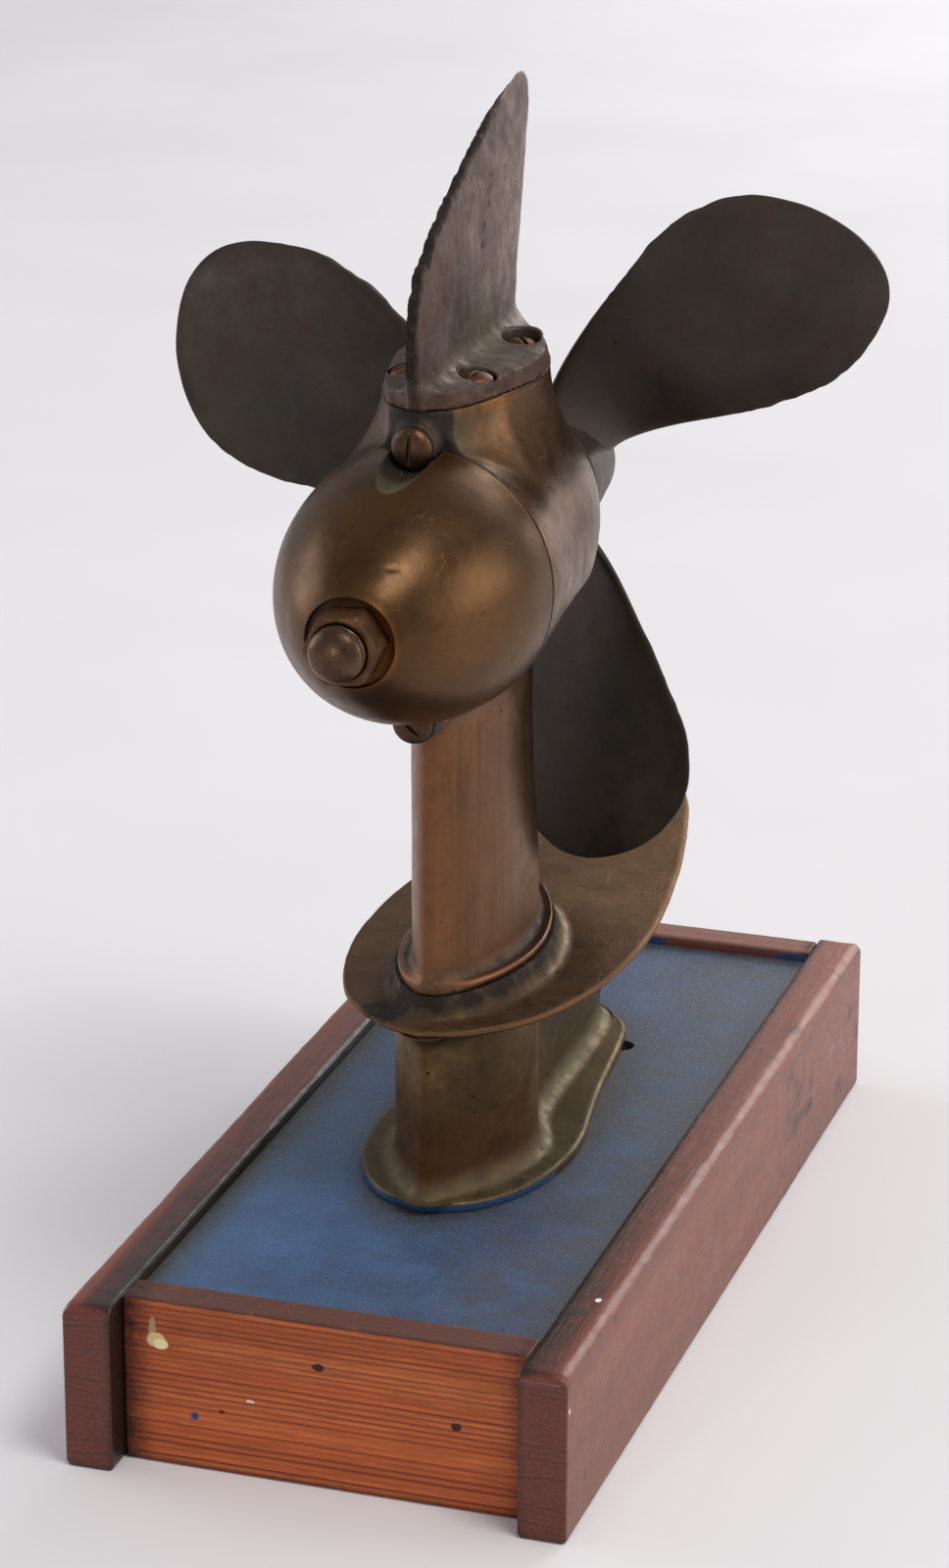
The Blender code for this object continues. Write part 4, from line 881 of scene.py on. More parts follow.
# The gearcase, leg and boss as one casting. Field: the turned body joined by wide fillets to the leg (its
# outline drawn up from the foot) and the boss (its outline up to the joint), less the seal's recess; its front is
# the nose's seam
def makeGearcase():
    body = smoothCurve(gearcase["profile"], 80)
    slope = np.gradient(body[:, 1], body[:, 0])
    legDistance, footDistance, bossDistance = (outlineDistance(outlineRing(outlines[name]))
                                               for name in ("leg", "foot", "boss"))
    footZ, jointZ, endY = legs["footZ"], bosses["jointZ"], gearcase["endY"]

    def field(p):
        x, y, z = np.moveaxis(p, -1, 0)
        away = np.hypot(x, z - shaftZ)
        steep = 1.0 / np.sqrt(1.0 + np.interp(y, body[:, 0], slope) ** 2)
        case = np.maximum((away - np.interp(y, body[:, 0], body[:, 1])) * steep, y - endY)
        narrow = 1.0 - legs["aftTaper"] * ramp(z, 205.0, 320.0) * ramp(y, -70.0, 10.0)
        leg = np.maximum(legDistance(x / narrow, y) * narrow, z - shaftZ)
        boss = np.maximum(np.maximum(bossDistance(x, y), z - jointZ), shaftZ - z)
        whole = joined(case, leg, legs["fillet"])
        fillet = bosses["frontFillet"] + (bosses["fillet"] - bosses["frontFillet"]) * ramp(y, -122.0, -88.0)
        whole = joined(whole, boss, fillet)
        whole = cutBy(whole, endY - y, 1.5)
        whole = cutBy(whole, jointZ - z, 0.8)
        # the seam's flat face, which leans forward to the boss's front where it passes the nose's rim
        front = gearcase["seamY"] - bosses["overhang"] * ramp(away, 69.2, 84.0)
        whole = cutBy(whole, y - front, 1.4)
        # foot: a slab whose top sinks by the moat's depth towards the leg, leaving a raised rim
        inside = -footDistance(x, y)
        top = footZ + legs["rimHeight"] - legs["moat"] * ramp(inside, 1.6, 5.0)
        whole = joined(whole, -joined(inside, top - z, 1.6), legs["sweep"])
        whole = np.maximum(whole, footZ - z)
        for side in (1.0, -1.0):
            lug = np.hypot(x, z - shaftZ - side * gearcase["screwOffset"]) - gearcase["lugRadius"]
            lug = np.maximum(-joined(-lug, y - gearcase["lugFrontY"], 1.6), y - gearcase["lugRearY"])
            whole = joined(whole, lug, 3.5)
        seal = np.maximum(away - gearcase["sealRadius"], endY - gearcase["sealDepth"] - y)
        return cutBy(whole, seal, 0.8)

    low, high = (-74.0, -140.0, footZ - 3.0), (74.0, 50.0, jointZ + 3.0)
    points, quads = fieldSurface(field, low, high, gearcase["cell"])
    flat = (np.abs(points[:, 2] - jointZ) < 1.0) | (points[:, 2] < footZ + 0.6) | (points[:, 1] < -123.5)
    uneven = layered(points, 3, (0.22, 31.0), (0.10, 11.0), (0.05, 4.0)) - 0.25
    points += fieldNormals(field, points) * np.where(flat, 0.0, uneven)[:, None]

    def masks(p):
        x, y, z = p.T
        rimDistance = footDistance(x, y)
        belowBody = ramp(z, 372.0, 345.0)
        rim = ramp(rimDistance, -3.0, -0.5) * ramp(z, footZ + 2.0, footZ + 4.0) * ramp(z, 240.0, 210.0)
        # painted shade: the moat round the leg's foot is darkened for the shade in that recess
        moat = ramp(rimDistance, -2.5, -5.0) * ramp(z, footZ + 12.0, footZ + 2.5)
        underJoint = ramp(z, jointZ - 9.0, jointZ - 2.0) * ramp(y, -72.0, -92.0) * ramp(x, 6.0, 12.0)
        patchy = 0.5 + 0.5 * lumps(p, 4.0, 6)
        bossSide = ramp(z, 470.0, 500.0) * ramp(y, 0.0, -60.0)
        crust = ramp(z, jointZ - 16.0, jointZ - 1.0) * ramp(y, -90.0, -112.0)
        # painted shade: a dark band on the seam's face, for the shade in the gap to the nose
        seamShade = ramp(y, -123.6, -124.6) * ramp(np.hypot(x, z - shaftZ), 62.0, 65.0)
        return {"rubbed": belowBody * (0.35 * ramp(y, -20.0, -60.0) + 0.3 * ramp(y, -98.0, -110.0)) + 0.5 * rim,
                "rust": 0.75 * underJoint * patchy + 0.08 * bossSide,
                "verdigris": 0.9 * patchy * spot(p, (4, -129, 503), 15.0)
                + 0.4 * spot(p, (14, -118, 492), 12.0),
                "grimeAndShade": moat + 0.8 * spot(p, (3, -128, 506), 11.0) + 0.5 * spot(p, (0, -125, 352), 18.0)
                + 0.6 * ramp(y, 40.0, 46.0) + 0.7 * spot(p, (4, -110, footZ + 4), 13.0)
                + 0.35 * crust * (1.0 - patchy) + 0.12 * bossSide + 2.0 * seamShade,
                "smooth": 0.75 * ramp(z, 365.0, 385.0)}

    addPiece("leg_and_gearcase_cast", [(points, quads)], patinatedGunmetal("gunmetal_leg", legLook), standBody,
             "leg_and_gearcase", masks)


# finOutline is the side outline of the fin from its front root over the tip to its rear root, (y, z)
covers = {"edgeTop": 519.6, "rise": 4.5, "finRoot": 512.0, "finHeight": 135.0, "rootThick": 6.2,
          "tipThick": 3.1, "edgeThick": 3.4, "rootFillet": 10.0, "cell": 1.15,
          "pocketFloor": 516.0, "pocketRadius": 9.7,
          "frontPockets": [(17.8, -91.5), (-17.8, -91.5)], "rearPockets": [(18.5, -22.0), (-18.5, -22.0)],
          "earRadius": 12.8, "earTop": 526.4, "earTilt": 0.32,
          "finOutline": [(-129, 500), (-130.5, 511.5), (-134.5, 517), (-138, 525), (-140, 535), (-140.5, 546),
                         (-138, 558), (-130, 574), (-115, 588.5), (-99, 597.5), (-77, 608.5), (-55, 619),
                         (-32, 629), (-9, 636.5), (13, 643), (30, 646.6), (42, 643), (47, 632), (45.5, 618),
                         (38, 590), (30.5, 561.5), (25, 537.5), (23.5, 520), (23.5, 500)]}


# The skeg's cover and fin as one casting. Field: the cover's outline up to a top that rises towards the fin,
# joined by a root fillet to the fin, less the screw pockets. The fin's half thickness grows inwards from its
# edge, edge + (middle - edge)(1 - exp(-distance / 16)), and both get less towards the tip
def makeCover():
    low = nodeBox("skeg_cover")[0][2]
    bossDistance = outlineDistance(outlineRing(outlines["boss"]))
    edge = smoothCurve(covers["finOutline"], 160)
    ragged = ramp(edge[:, 0], -60.0, -110.0) * ramp(edge[:, 1], 520.0, 535.0)
    chips = layered(np.column_stack([edge, np.zeros(len(edge))]), 8, (1.0, 4.0), (0.8, 9.0))
    edge = edge + np.column_stack([chips, -chips]) * (0.3 + ragged)[:, None]
    finDistance = outlineDistance(edge, 0.8, 14.0)
    pockets = covers["frontPockets"] + covers["rearPockets"]

    def field(p):
        x, y, z = np.moveaxis(p, -1, 0)
        inside = -bossDistance(x, y)
        crown = covers["rise"] * (1.0 - np.exp(-np.maximum(inside, 0.0) / 10.0))
        top = covers["edgeTop"] + crown - 1.2 * ramp(inside, 0.5, 4.0)
        draft = (0.10 + 0.28 * ramp(y, -112.0, -75.0)) * np.clip(z - low - 0.8, 0.0, 9.0)
        slab = -joined(inside - draft, top - z, 0.8)
        deep = -finDistance(y, z)
        rise = np.clip((z - covers["finRoot"]) / covers["finHeight"], 0.0, 1.0)
        thick = covers["rootThick"] * (1.0 - rise) + covers["tipThick"] * rise
        blunt = covers["edgeThick"] - 1.2 * rise - 1.9 * ramp(y, -20.0, 20.0 + 10.0 * rise)
        blunt -= 1.6 * ramp(z, 532.0, 508.0) * ramp(y, -110.0, -128.0)
        half = blunt + (thick - blunt) * (1.0 - np.exp(-np.maximum(deep, 0.0) / 16.0))
        whole = joined(slab, -joined(deep, half - np.abs(x), 1.4), covers["rootFillet"])
        for px, py in covers["rearPockets"]:
            earTop = covers["earTop"] - covers["earTilt"] * (py + covers["earRadius"] - y)
            ear = -joined(covers["earRadius"] - np.hypot(x - px, y - py), earTop - z, 2.0)
            whole = joined(whole, np.maximum(ear, draft - inside), 3.0)
        for px, py in pockets:
            pocket = np.maximum(np.hypot(x - px, y - py) - covers["pocketRadius"], covers["pocketFloor"] - z)
            whole = cutBy(whole, pocket, 1.0)
        return np.maximum(whole, low - z)

    points, quads = fieldSurface(field, (-44.0, -142.0, low - 2.5), (44.0, 52.0, 650.0), covers["cell"])
    x, y, z = points.T
    frontEdge = ramp(z, 520.0, 530.0) * ramp(finDistance(y, z), -5.0, -1.0) * ramp(y, 10.0, -40.0)
    uneven = layered(points, 13, (0.28, 26.0), (0.14, 9.0), (0.06, 3.5)) - 0.3
    uneven += frontEdge * (0.5 * lumps(points, 3.2, 16) - 0.25)
    points += fieldNormals(field, points) * (uneven * (z > low + 1.5))[:, None]

    def masks(p):
        y, z = p.T[1:]
        distance = finDistance(y, z)
        band = ramp(z, 521.0, 519.0)
        leading = ramp(distance, -4.5, -2.0) * ramp(y, 5.0, -30.0) * ramp(z, 524.0, 534.0)
        front = ramp(distance, -42.0, -10.0) * ramp(y, 0.0, -40.0)
        pitLine = bell(y, -62.0 + 0.62 * (z - 540.0), 4.0) * ramp(z, 535.0, 548.0) * ramp(z, 610.0, 590.0)
        inPockets = sum(spot(p[:, :2], place, 9.0) for place in pockets)
        greenRoot = spot(p, (9.0, -40.0, 528.0), 17.0) + 0.7 * spot(p, (12.0, -72.0, 524.0), 11.0)
        return {"rubbed": 0.25 * band + 0.25 * front,
                "rust": 0.10 * band,
                "verdigris": 0.75 * greenRoot + 0.25 * inPockets * ramp(z, 516.5, 519.0)
                + 0.35 * leading * (lumps(p, 7.0, 18) > 0.1),
                # painted shade: the screw pockets' walls are darkened for the shade in those recesses
                "grimeAndShade": 0.85 * leading + 0.8 * pitLine * (lumps(p, 3.0, 17) > 0.15)
                + 0.6 * inPockets * ramp(z, 521.0, 517.0) + 0.34 * ramp(z, 556.0, 528.0) + 0.22 * front
                + 0.25 * ramp(z, 590.0, 625.0)}

    addPiece("skeg_cover_cast", [(points, quads)], patinatedGunmetal("gunmetal_skeg", coverLook), standBody,
             "skeg_cover", masks)


# the dent is the old knock above the nut: (middle, radii, depth)
noses = {"profile": [(-228.6, 23.0), (-224, 28.1), (-218, 33.5), (-210, 39.4), (-200, 46.0), (-190, 51.7),
                     (-180, 56.5), (-170, 60.4), (-160, 63.5), (-150, 65.8), (-140, 67.3), (-130, 68.2),
                     (-125.4, 68.45)],
         "groove": 0.9, "backY": -125.15, "spotFaceY": -224.5, "spotFaceRadius": 22.6, "bore": 14.0,
         "scallopOffset": 71.7, "scallopRadius": 12.9, "columns": 340,
         "dent": ((20.6, -214.0, 458.5), (5.5, 2.4, 1.7), 0.9)}


# The nose cone: its profile turned about the shaft's axis, with a groove at the seam. In the scallops the radius
# is where a ray from the axis meets the cutter: D cos a - sqrt(s² - D² sin² a), with D the cutter's offset and s
# its radius
def makeNose():
    outer = smoothCurve(noses["profile"], 240)
    frontY, backRadius = outer[0, 0], outer[-1, 1]
    backY, spotY, spotRadius, bore = (noses[key] for key in ("backY", "spotFaceY", "spotFaceRadius", "bore"))
    offset, cutter = noses["scallopOffset"], noses["scallopRadius"]
    seat = [(backY, bore), (spotY, bore), (spotY, bore + 4.0), (spotY, spotRadius - 0.9),
            (spotY - 0.4, spotRadius - 0.3)]
    rim = [(frontY + 0.9, spotRadius - 0.25), (frontY + 0.25, spotRadius), (frontY, spotRadius + 0.25)]
    end = [(backY - 0.02, backRadius - 0.1), (backY, backRadius - 0.4), (backY, bore + 20.0), (backY, bore)]
    profile = np.vstack([seat, rim, outer, end])
    turn = np.linspace(-np.pi, np.pi, noses["columns"], endpoint=False)
    angle = turn - 0.32 * np.sin(2.0 * turn)                      # closer columns at the top and the bottom
    y = profile[:, :1]
    radius = np.repeat(profile[:, 1:], len(angle), axis=1)
    for flip in (0.0, np.pi):
        reach = offset * np.sin(angle - flip)
        hit = (np.abs(reach) < cutter) & (np.cos(angle - flip) > 0.0)
        root = np.sqrt(np.maximum(cutter ** 2 - reach ** 2, 0.0))
        near = np.where(hit, offset * np.cos(angle - flip) - root, 200.0)
        radius = np.where(y > -205.0, joined(radius, near, 0.8), radius)
    outside = np.zeros(y.shape, bool)
    outside[len(seat) + 2:-len(end)] = True
    place = roundShaft(radius, angle, y)
    uneven = layered(place, 21, (0.16, 33.0), (0.07, 12.0), (0.03, 4.5)) - 0.15
    middle, radii, depth = noses["dent"]
    uneven -= depth * spot(place, middle, radii)
    radius = radius + np.where(outside, uneven * ramp(np.abs(y + 125.4), 0.0, 4.0), 0.0)
    radius = radius - noses["groove"] * ramp(y, -126.3, -125.3) * (radius > 50.0)
    rings = roundShaft(radius, angle, y)

    def masks(p):
        x, y, z = p.T
        away = np.hypot(x, z - shaftZ)
        depth = cutter + 0.6 - np.hypot(x, np.abs(z - shaftZ) - offset)
        inScallop = ramp(depth, -0.6, 0.6) * ramp(y, -185.0, -176.0)
        face = ramp(away, 25.5, 23.0)
        lip = ramp(y, -129.5, -127.2) * ramp(y, -126.4, -127.0)
        return {"rubbed": 0.35 * spot(p, (40, -190, 425), 30.0) + 0.30 * lip,
                "rust": face * (0.10 + 0.4 * ramp(x, 4.0, 16.0)) + 0.08 * bell(away, 23.6, 1.2),
                "verdigris": 0.7 * inScallop * ramp(y, -150.0, -166.0),
                # crust in the scallops, darker on the spot face's left and towards the underside, and painted
                # shade: a dark band just in front of the seam's groove, for the shade in the gap
                "grimeAndShade": inScallop * ramp(y, -168.0, -150.0) + 0.5 * face * ramp(x, 12.0, -4.0)
                + 2.0 * ramp(y, -126.9, -126.1) * ramp(away, 60.0, 66.0) + 0.25 * ramp(z, 372.0, 357.0)}

    form = skin(np.vstack([rings, rings[:1]]))
    addPiece("nose_cone_cast", [form], patinatedGunmetal("gunmetal_nose", noseLook), standBody,
             "nose_cone", masks, 40)


nuts = {"acrossFlats": 33.0, "chamfer": 0.42, "cornerRound": 1.2, "turn": 4.5}


# Hexagon nut about the shaft's axis. Radius: flat = half width / cos(angle from the flat's middle), held under
# the chamfer's cone half width + distance from the face / chamfer slope
def nutSkin(front, rear, bore):
    half = nuts["acrossFlats"] / 2.0
    angle = wholeTurn(240)
    third = np.pi / 3.0
    flat = half / np.cos((angle + math.radians(nuts["turn"]) + third / 2.0) % third - third / 2.0)
    flat = np.minimum(flat, half / math.cos(third / 2.0) - nuts["cornerRound"] * 0.4)
    thick, fine = rear - front, 4.0                               # closer rings within this of each face
    depth = np.concatenate([np.linspace(0.0, fine, 14), np.linspace(fine, thick - fine, 6)[1:-1],
                            np.linspace(thick - fine, thick, 14)])[:, None]
    radius = np.minimum(flat, half - 0.5 + np.minimum(depth, thick - depth) / nuts["chamfer"])
    rings = roundShaft(radius, angle, front + depth)
    inner = turned([(front + 1.2, bore), (front + 0.1, bore + 0.7), (front, bore + 0.9)], len(angle))
    outer = turned([(rear, bore + 1.4), (rear - 1.2, bore), (front + 1.2, bore)], len(angle))
    return skin(np.vstack([inner, rings, outer]))


# masks for a small fastening: patches of wear, and rust and grime between them
def wornAll(p):
    broad = 0.5 + 0.5 * lumps(p, 7.0, 31)
    return {"rubbed": 0.40 * broad, "rust": 0.25 * (1.0 - broad), "grimeAndShade": 0.40 * (1.0 - broad)}


studs = {"threadMm": 2.5, "threadDepth": 0.75, "columns": 72, "stepMm": 0.28}


# A threaded bar about the shaft's axis. In the thread the radius is R - depth x (1 - |2 saw - 1|), with saw the
# fraction of (place / pitch - angle / turn); past it the profile closes in a dome or a chamfer
def threadedBar(radius, start, threadFrom, threadTo, end, dome):
    angle = wholeTurn(studs["columns"])
    out = 1.0 if end > start else -1.0
    t = np.linspace(0.0, np.pi / 2.0, 16)[1:-1]
    plain = np.linspace(start, threadFrom, 6)[:-1]
    cut = np.linspace(threadFrom, threadTo, int(abs(threadTo - threadFrom) / studs["stepMm"]) + 2)
    place = np.concatenate([plain, cut, threadTo + (end - threadTo) * np.sin(t)])
    closing = np.cos(t) if dome else 1.0 - 0.25 * np.sin(t) ** 6
    bar = np.concatenate([np.full(len(plain) + len(cut), radius), radius * closing])
    saw = (place[:, None] / studs["threadMm"] - angle / (2.0 * np.pi)) % 1.0
    inThread = ramp(out * (place - threadFrom), 0.0, 0.6) * ramp(out * (threadTo - place), -0.3, 0.6)
    depth = studs["threadDepth"] * (1.0 - np.abs(2.0 * saw - 1.0)) * inThread[:, None]
    return shell(roundShaft(bar[:, None] - depth, angle, place[:, None]))


washers = {"radius": 21.5, "edge": 0.4, "play": 0.4}
# the seal's section from its rear face's outer edge to its lip: (distance in from the rear face, radius)
sealLip = [(0.6, 24.0), (0.0, 23.4), (0.0, 19.5), (1.6, 18.6), (1.6, 15.6), (0.3, 13.8), (1.0, 13.1)]


# the nose's stud and nut, and on the other end the shaft, nut, washer and seal, each from its CAD node's box
def makeShaftFastenings():
    (studLow, studHigh), (nutLow, nutHigh) = nodeBox("nose_stud"), nodeBox("nose_nut")
    radius = (studHigh[0] - studLow[0]) / 2.0
    stud = threadedBar(radius, studHigh[1], nutLow[1] + 2.0, studLow[1] + 8.6, studLow[1], True)
    nut = nutSkin(nutLow[1], nutHigh[1], radius + 0.12)
    (shaftLow, shaftHigh), (rearNutLow, rearNutHigh) = nodeBox("propeller_shaft"), nodeBox("propeller_nut")
    (washerLow, washerHigh), (sealLow, sealHigh) = nodeBox("propeller_washer"), nodeBox("shaft_seal_ring")
    radius = (shaftHigh[0] - shaftLow[0]) / 2.0
    shaft = threadedBar(radius, shaftLow[1], washerHigh[1], shaftHigh[1] - 2.0, shaftHigh[1], False)
    rearNut = nutSkin(rearNutLow[1], rearNutHigh[1], radius + 0.3)
    front, rear, rim, edge = washerLow[1], washerHigh[1], washers["radius"], washers["edge"]
    bore = radius + washers["play"]
    washer = turned([(front, bore), (front, rim - 0.3), (front + edge, rim), (rear - edge, rim),
                     (rear, rim - 0.3), (rear, bore), (front, bore)], 96)
    seal = [(sealLow[1], 14.0), (sealLow[1], 24.0)] + [(sealHigh[1] - back, reach) for back, reach in sealLip]
    seal = turned(seal + [(sealLow[1], 14.0)], 96)
    bronze = patinatedGunmetal
    rows = (("nose_stud_threaded", "nose_stud", stud, bronze("bronze_stud", studLook), "grey_bronze", 50),
            ("nose_nut_forged", "nose_nut", nut, bronze("bronze_nut", nutLook), "golden_bronze", 28),
            ("propeller_shaft_turned", "propeller_shaft", shaft, turnedSteel("stainless_shaft", "8c8780"),
             "steel", 50),
            ("propeller_nut_forged", "propeller_nut", rearNut, bronze("bronze_rear_nut", nutLook),
             "screw_bronze", 28),
            ("propeller_washer_pressed", "propeller_washer", skin(washer), bronze("bronze_washer", screwLook),
             "screw_bronze", 40),
            ("shaft_seal_moulded", "shaft_seal_ring", skin(seal), mouldedRubber("nitrile_seal"),
             "black_rubber", 40))
    for name, node, form, material, slot, sharp in rows:
        body = turningBody if node.startswith("propeller") else standBody
        masks = None if node == "shaft_seal_ring" else wornAll
        addPiece(name, [form], material, body, node, masks, sharp)


screws = {"slotHalf": 0.95, "slotDepth": 2.6, "shankRadius": 3.3, "cell": 0.42, "skirt": 1.2,
          "nose": {"radius": 10.5, "height": 7.2, "length": 12.0, "turns": {"top": 1.5, "bottom": 2.4}},
          "cover": {"radius": 9.0, "height": 6.2, "length": 14.0,
                    "turns": {"front_right": 1.45, "front_left": 0.6, "rear_right": 2.3, "rear_left": 1.0}}}


# A slotted round-head screw. Field: an ellipsoid cap over a short cylinder, joined to the shank, less the slot
def makeScrew(node, material, seat, out, size, turn):
    radius, height, length, skirt = size["radius"], size["height"], size["length"], screws["skirt"]
    c, s = math.cos(turn), math.sin(turn)

    def field(p):
        x, y, w = np.moveaxis(p, -1, 0)
        u, v = x * c + y * s, y * c - x * s
        away = np.hypot(u, v)
        cap = np.sqrt((away / radius) ** 2 + (np.maximum(w - skirt, 0.0) / (height - skirt)) ** 2) - 1.0
        head = -joined(-np.maximum(cap * (height - skirt), away - radius), w - 0.3, 0.5)
        slot = np.maximum(np.abs(v) - screws["slotHalf"], height - screws["slotDepth"] - w)
        shank = np.maximum(away - screws["shankRadius"], np.maximum(-length - w, w - 1.5))
        return np.minimum(cutBy(head, slot, 0.5), shank)

    reach = radius + 1.0
    low, high = (-reach, -reach, -length - 1.0), (reach, reach, height + 1.0)
    points, quads = fieldSurface(field, low, high, screws["cell"])
    points[:, :2] *= 1.0 - 0.012 * (1.0 + lumps(points, 3.0, 41))[:, None]
    w = np.array(out, float)
    u = np.cross((0.0, 1.0, 0.0) if abs(w[2]) > 0.5 else (0.0, 0.0, 1.0), w)
    points = np.array(seat) + points @ np.array([u, np.cross(w, u), w])
    addPiece(node + "_head", [(points, quads)], material, standBody, node, wornAll)


def makeScrews():
    material = patinatedGunmetal("bronze_screw", screwLook)
    for place, turn in screws["nose"]["turns"].items():
        side = 1.0 if place == "top" else -1.0
        seat = (0.0, gearcase["lugFrontY"] - 0.3, shaftZ + side * gearcase["screwOffset"])
        makeScrew("nose_screw_" + place, material, seat, (0, -1, 0), screws["nose"], turn)
    material = patinatedGunmetal("bronze_cover_screw", coverScrewLook)
    for place, turn in screws["cover"]["turns"].items():
        pockets = covers["frontPockets" if "front" in place else "rearPockets"]
        seat = (*pockets[0 if "right" in place else 1], covers["pocketFloor"])
        makeScrew("skeg_screw_" + place, material, seat, (0, 0, 1), screws["cover"], turn)


# waves are the sizes of the cosines that give the blade's edge; rake pulls the blades forward between two radii
blades = {"count": 3, "radius": 218.0, "pitch": 295.0, "rootRadius": 30.0, "datum": 40.3, "rows": 110,
          "columns": 40, "waves": (23.9, 61.0, -22.7, -22.3, 0.1, -2.8, -3.1), "rake": 11.0,
          "rakeFrom": 36.0, "rakeTo": 105.0, "rootThick": 4.3, "tipThick": 1.5, "rootFillet": 6.0}


# a blade's edge for part 0 to 1, from its rear root over the tip to its front root: radius = root + span
# sin(pi part), distance round the helix = sum of waves cos(k pi part)
def bladeEdge(part):
    turn = np.pi * part
    radius = blades["rootRadius"] + (blades["radius"] - blades["rootRadius"]) * np.sin(turn)
    return radius, sum(size * np.cos(k * turn) for k, size in enumerate(blades["waves"]))


# One blade: at each radius r a section along the helix of pitch P, slope = atan(P / 2 pi r), pulled forward by
# the rake. Across it, place = front + (rear - front)(1 - cos a) / 2 and half thickness = t |sin a|^0.62, so both
# edges are round
def bladeShell(number):
    rows = blades["rows"]
    part = 0.4995 * (1.0 - (1.0 - np.linspace(0.0, 1.0, rows)) ** 1.15)
    radius, rear = bladeEdge(part)
    front = bladeEdge(1.0 - part)[1]
    height = radius - blades["rootRadius"]
    rise = height / (blades["radius"] - blades["rootRadius"])
    narrow = 1.0 - 0.22 * np.exp(-height / 20.0)
    outer = ramp(rise, 0.25, 0.6)
    worn = outer * np.clip(1.02 - rise, 0, 1) ** 0.3
    wobble = np.stack([radius, np.full(rows, 50.0 * number), np.zeros(rows)], -1)
    rear = rear * narrow + worn * layered(wobble, 61, (0.9, 9.0), (0.5, 3.5))
    front = front * narrow - worn * layered(wobble, 63, (0.9, 8.0), (0.5, 3.2))
    thick = blades["rootThick"] * (1.0 - rise) + blades["tipThick"] * rise
    thick = thick + blades["rootFillet"] * np.exp(-(radius - 34.0) / 7.0)
    thick = thick * np.sqrt(np.clip((0.5 - part) / 0.012, 0.0, 1.0) * 0.96 + 0.04)
    radius, rear, front, thick, outer = (line[:, None] for line in (radius, rear, front, thick, outer))
    turn = wholeTurn(2 * blades["columns"])
    across = front + (rear - front) * (1.0 - np.cos(turn)) / 2.0
    off = thick * np.minimum(np.abs(np.sin(turn)) ** 0.62, 1.0) * np.sign(np.sin(turn))
    ripple = np.stack(np.broadcast_arrays(radius, across, 90.0 * number), -1)
    off = off + 0.35 * lumps(ripple, 38.0, 65) * outer + 0.07 * lumps(ripple, 10.0, 66)
    atEdge = ramp(np.abs(across - (front + rear) / 2.0) / np.maximum(rear - front, 4.0), 0.40, 0.5)
    off = off + 0.9 * outer * atEdge * lumps(ripple, 13.0, 67)
    slope = np.arctan(blades["pitch"] / (2.0 * np.pi * radius))
    angle = (math.radians(blades["datum"] + number * 360.0 / blades["count"])
             + (across * np.cos(slope) - off * np.sin(slope)) / radius)
    along = across * np.sin(slope) + off * np.cos(slope)
    along = along - blades["rake"] * ramp(radius, blades["rakeFrom"], blades["rakeTo"])
    return shell(roundShaft(radius, angle, propellerY + along))


# The propeller: the hub turned from its profile and three blades that grow out of it, one casting
def makePropeller():
    front = nodeBox("shaft_seal_ring")[1][1] + 5.0
    rear = nodeBox("propeller_washer")[0][1] - 0.3
    shaftLow, shaftHigh = nodeBox("propeller_shaft")
    bore = (shaftHigh[0] - shaftLow[0]) / 2.0 + 0.3
    profile = smoothCurve([(front + 1.5, 36.5), (front + 12, 36.0), (propellerY, 34.4), (rear - 14, 32.6),
                           (rear - 2, 31.0)], 40)
    ends = [(rear - 0.6, 30.4), (rear, 29.0), (rear, bore + 1.0), (rear - 1.0, bore), (front + 1.0, bore),
            (front, bore + 1.0), (front, 35.0), (front + 0.5, 36.1), tuple(profile[0])]
    shells = [skin(turned(np.vstack([profile, ends]), 160))]
    shells += [bladeShell(number) for number in range(blades["count"])]

    def masks(p):
        radius = np.hypot(p[:, 0], p[:, 2] - shaftZ)
        return {"rubbed": 0.10 + 0.12 * ramp(radius, 150.0, 215.0) + 0.25 * ramp(radius, 60.0, 36.0),
                "rust": 0.02 * ramp(lumps(p, 40.0, 71), 0.1, 0.7),
                "verdigris": 0.10 * ramp(lumps(p, 55.0, 72), 0.0, 0.6) + 0.05 * ramp(radius, 50.0, 38.0),
                "grimeAndShade": 0.15 * ramp(lumps(p, 30.0, 73), 0.1, 0.8)}

    addPiece("propeller_cast", shells, patinatedGunmetal("dark_gunmetal_blades", bladeLook), turningBody,
             "propeller", masks, 50)


floors = {"radius": 40.0, "sides": 96, "colours": ("e3e2e4", "e8e7e9"), "rough": 0.9, "sheen": 0.1}


# plain pale floor, wide enough to fill the view from any side
def makeFloor():
    mesh = bpy.data.meshes.new("floor")
    turn = wholeTurn(floors["sides"])
    points = floors["radius"] * np.stack([np.cos(turn), np.sin(turn), np.zeros(len(turn))], -1)
    mesh.from_pydata(points.tolist(), [], [tuple(range(len(turn)))])
    material, tree, _, place, _ = newMaterial("matt_white_floor", {})
    shade = addNode(tree, "TexNoise", {"Vector": place, "Scale": 3.0, "Detail": 2.0})
    tone = sumOf(tree, [(shade, (0.3, floors["colours"][0]), (0.7, floors["colours"][1]))])
    fill(tree, tree.nodes["Principled BSDF"], {"Base Color": tone, "Roughness": floors["rough"],
                                               "Specular IOR Level": floors["sheen"]})
    mesh.materials.append(material)
    floor = bpy.data.objects.new("floor", mesh)
    bpy.context.scene.collection.objects.link(floor)


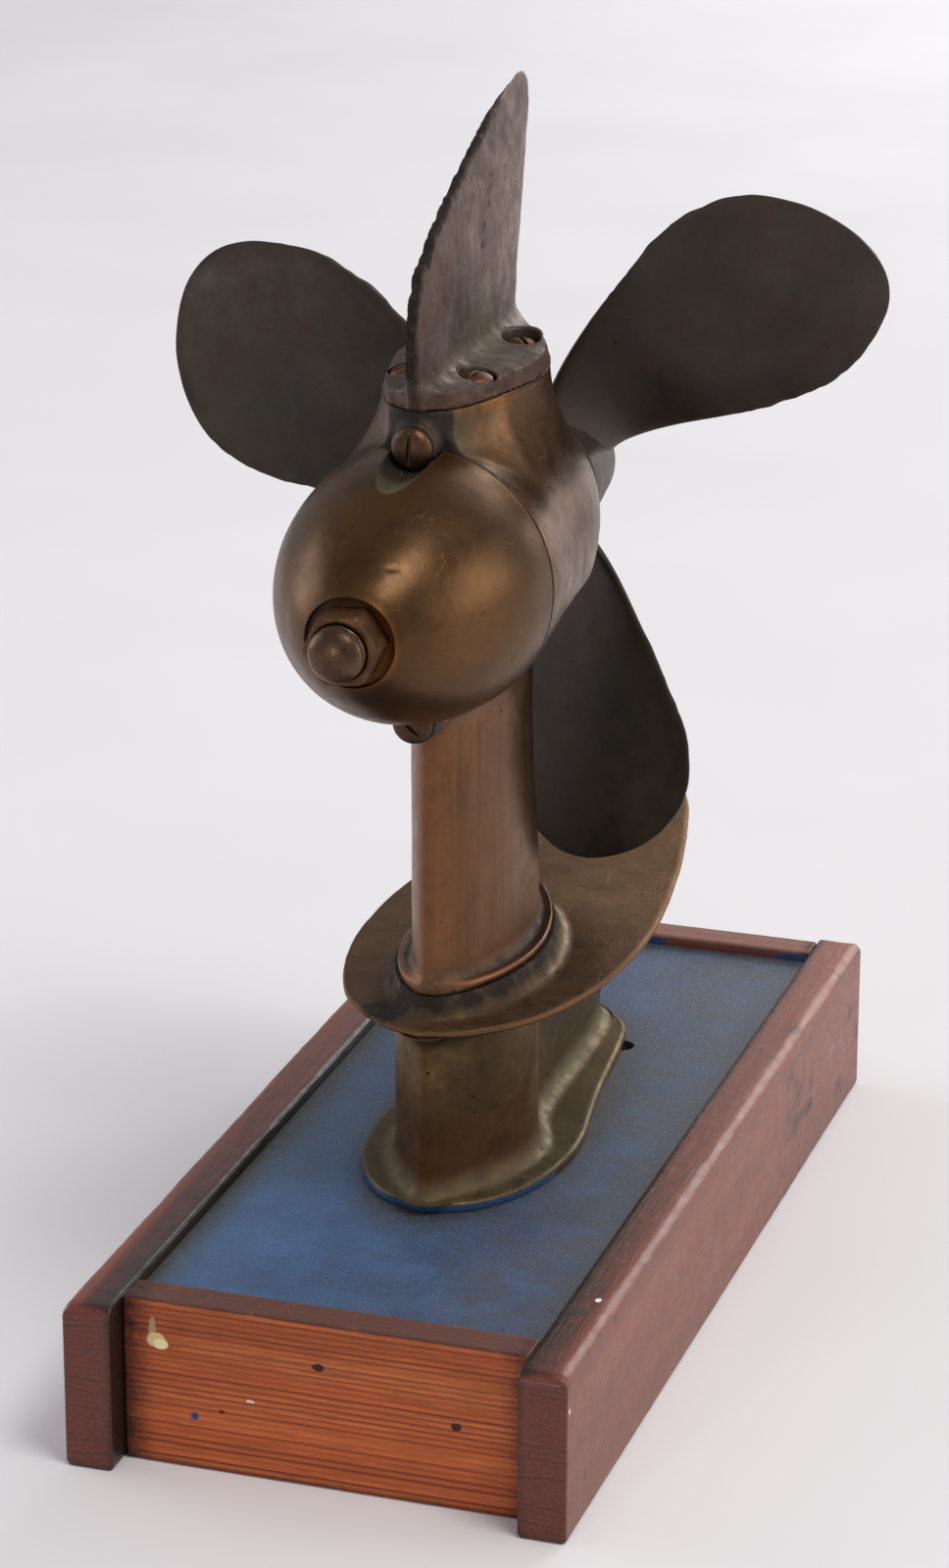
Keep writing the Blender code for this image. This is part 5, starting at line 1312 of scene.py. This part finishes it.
# soft boxes round the object: place, size, strength in watts and colour; each looks at the middle of the object
lights = {"overhead": {"place": (1.5, -0.9, 3.3), "size": 1.3, "watts": 54.0, "colour": "fffaf5"},
          "right": {"place": (3.2, 0.9, 1.3), "size": 1.8, "watts": 30.0, "colour": "fff7f2"},
          "left": {"place": (-3.0, 0.2, 1.2), "size": 1.8, "watts": 30.0, "colour": "f6f5ff"},
          "front": {"place": (-0.5, -2.9, 0.8), "size": 0.28, "watts": 8.0, "colour": "ffffff"},
          "rear": {"place": (1.2, 5.0, 2.1), "size": 3.6, "watts": 160.0, "colour": "ffffff"}}
room = {"colour": "f1f0f4", "strength": 0.45, "middle": (0.0, -0.03, 0.30)}


def makeLights():
    for name, look in lights.items():
        lamp = bpy.data.lights.new(name, "AREA")
        lamp.shape = "SQUARE"
        lamp.size = look["size"]
        lamp.energy = look["watts"]
        lamp.color = hexColour(look["colour"])[:3]
        holder = bpy.data.objects.new(name, lamp)
        holder.location = look["place"]
        holder.rotation_mode = "QUATERNION"
        holder.rotation_quaternion = (Vector(room["middle"]) - holder.location).to_track_quat("-Z", "Y")
        bpy.context.scene.collection.objects.link(holder)
    world = bpy.data.worlds.new("studio")
    world.use_nodes = True
    fill(world.node_tree, world.node_tree.nodes["Background"], {"Color": room["colour"],
                                                                "Strength": room["strength"]})
    bpy.context.scene.world = world


# the photograph's camera: yaw to the left, pitch down, and a long lens; the frame's long side is upright
cameraLook = {"place": (0.71485, -2.22460, 1.12607), "yaw": 18.11, "pitch": 20.03, "roll": 0.12,
              "focalPixels": 4837.0, "framePixels": 1600.0, "sensor": 36.0}


def makeCamera():
    data = bpy.data.cameras.new("camera")
    data.sensor_width = cameraLook["sensor"]
    data.lens = cameraLook["sensor"] * cameraLook["focalPixels"] / cameraLook["framePixels"]
    data.clip_start, data.clip_end = 0.05, 200.0
    camera = bpy.data.objects.new("camera", data)
    yaw, pitch = math.radians(cameraLook["yaw"]), math.radians(cameraLook["pitch"])
    ahead = Vector((-math.sin(yaw) * math.cos(pitch), math.cos(yaw) * math.cos(pitch), -math.sin(pitch)))
    camera.location = cameraLook["place"]
    camera.rotation_mode = "QUATERNION"
    turn = Quaternion((0.0, 0.0, 1.0), math.radians(cameraLook["roll"]))
    camera.rotation_quaternion = ahead.to_track_quat("-Z", "Y") @ turn
    bpy.context.scene.collection.objects.link(camera)
    bpy.context.scene.camera = camera


makeCamera()
print("camera placed")
makePlinth()
print("plinth made")
makeLowerCasting()
makeGearcase()
makeCover()
makeNose()
print("castings made")
makeShaftFastenings()
makeScrews()
makePropeller()
print("fastenings and propeller made")
makeFloor()
makeLights()
bpy.context.scene.view_settings.view_transform = "Standard"
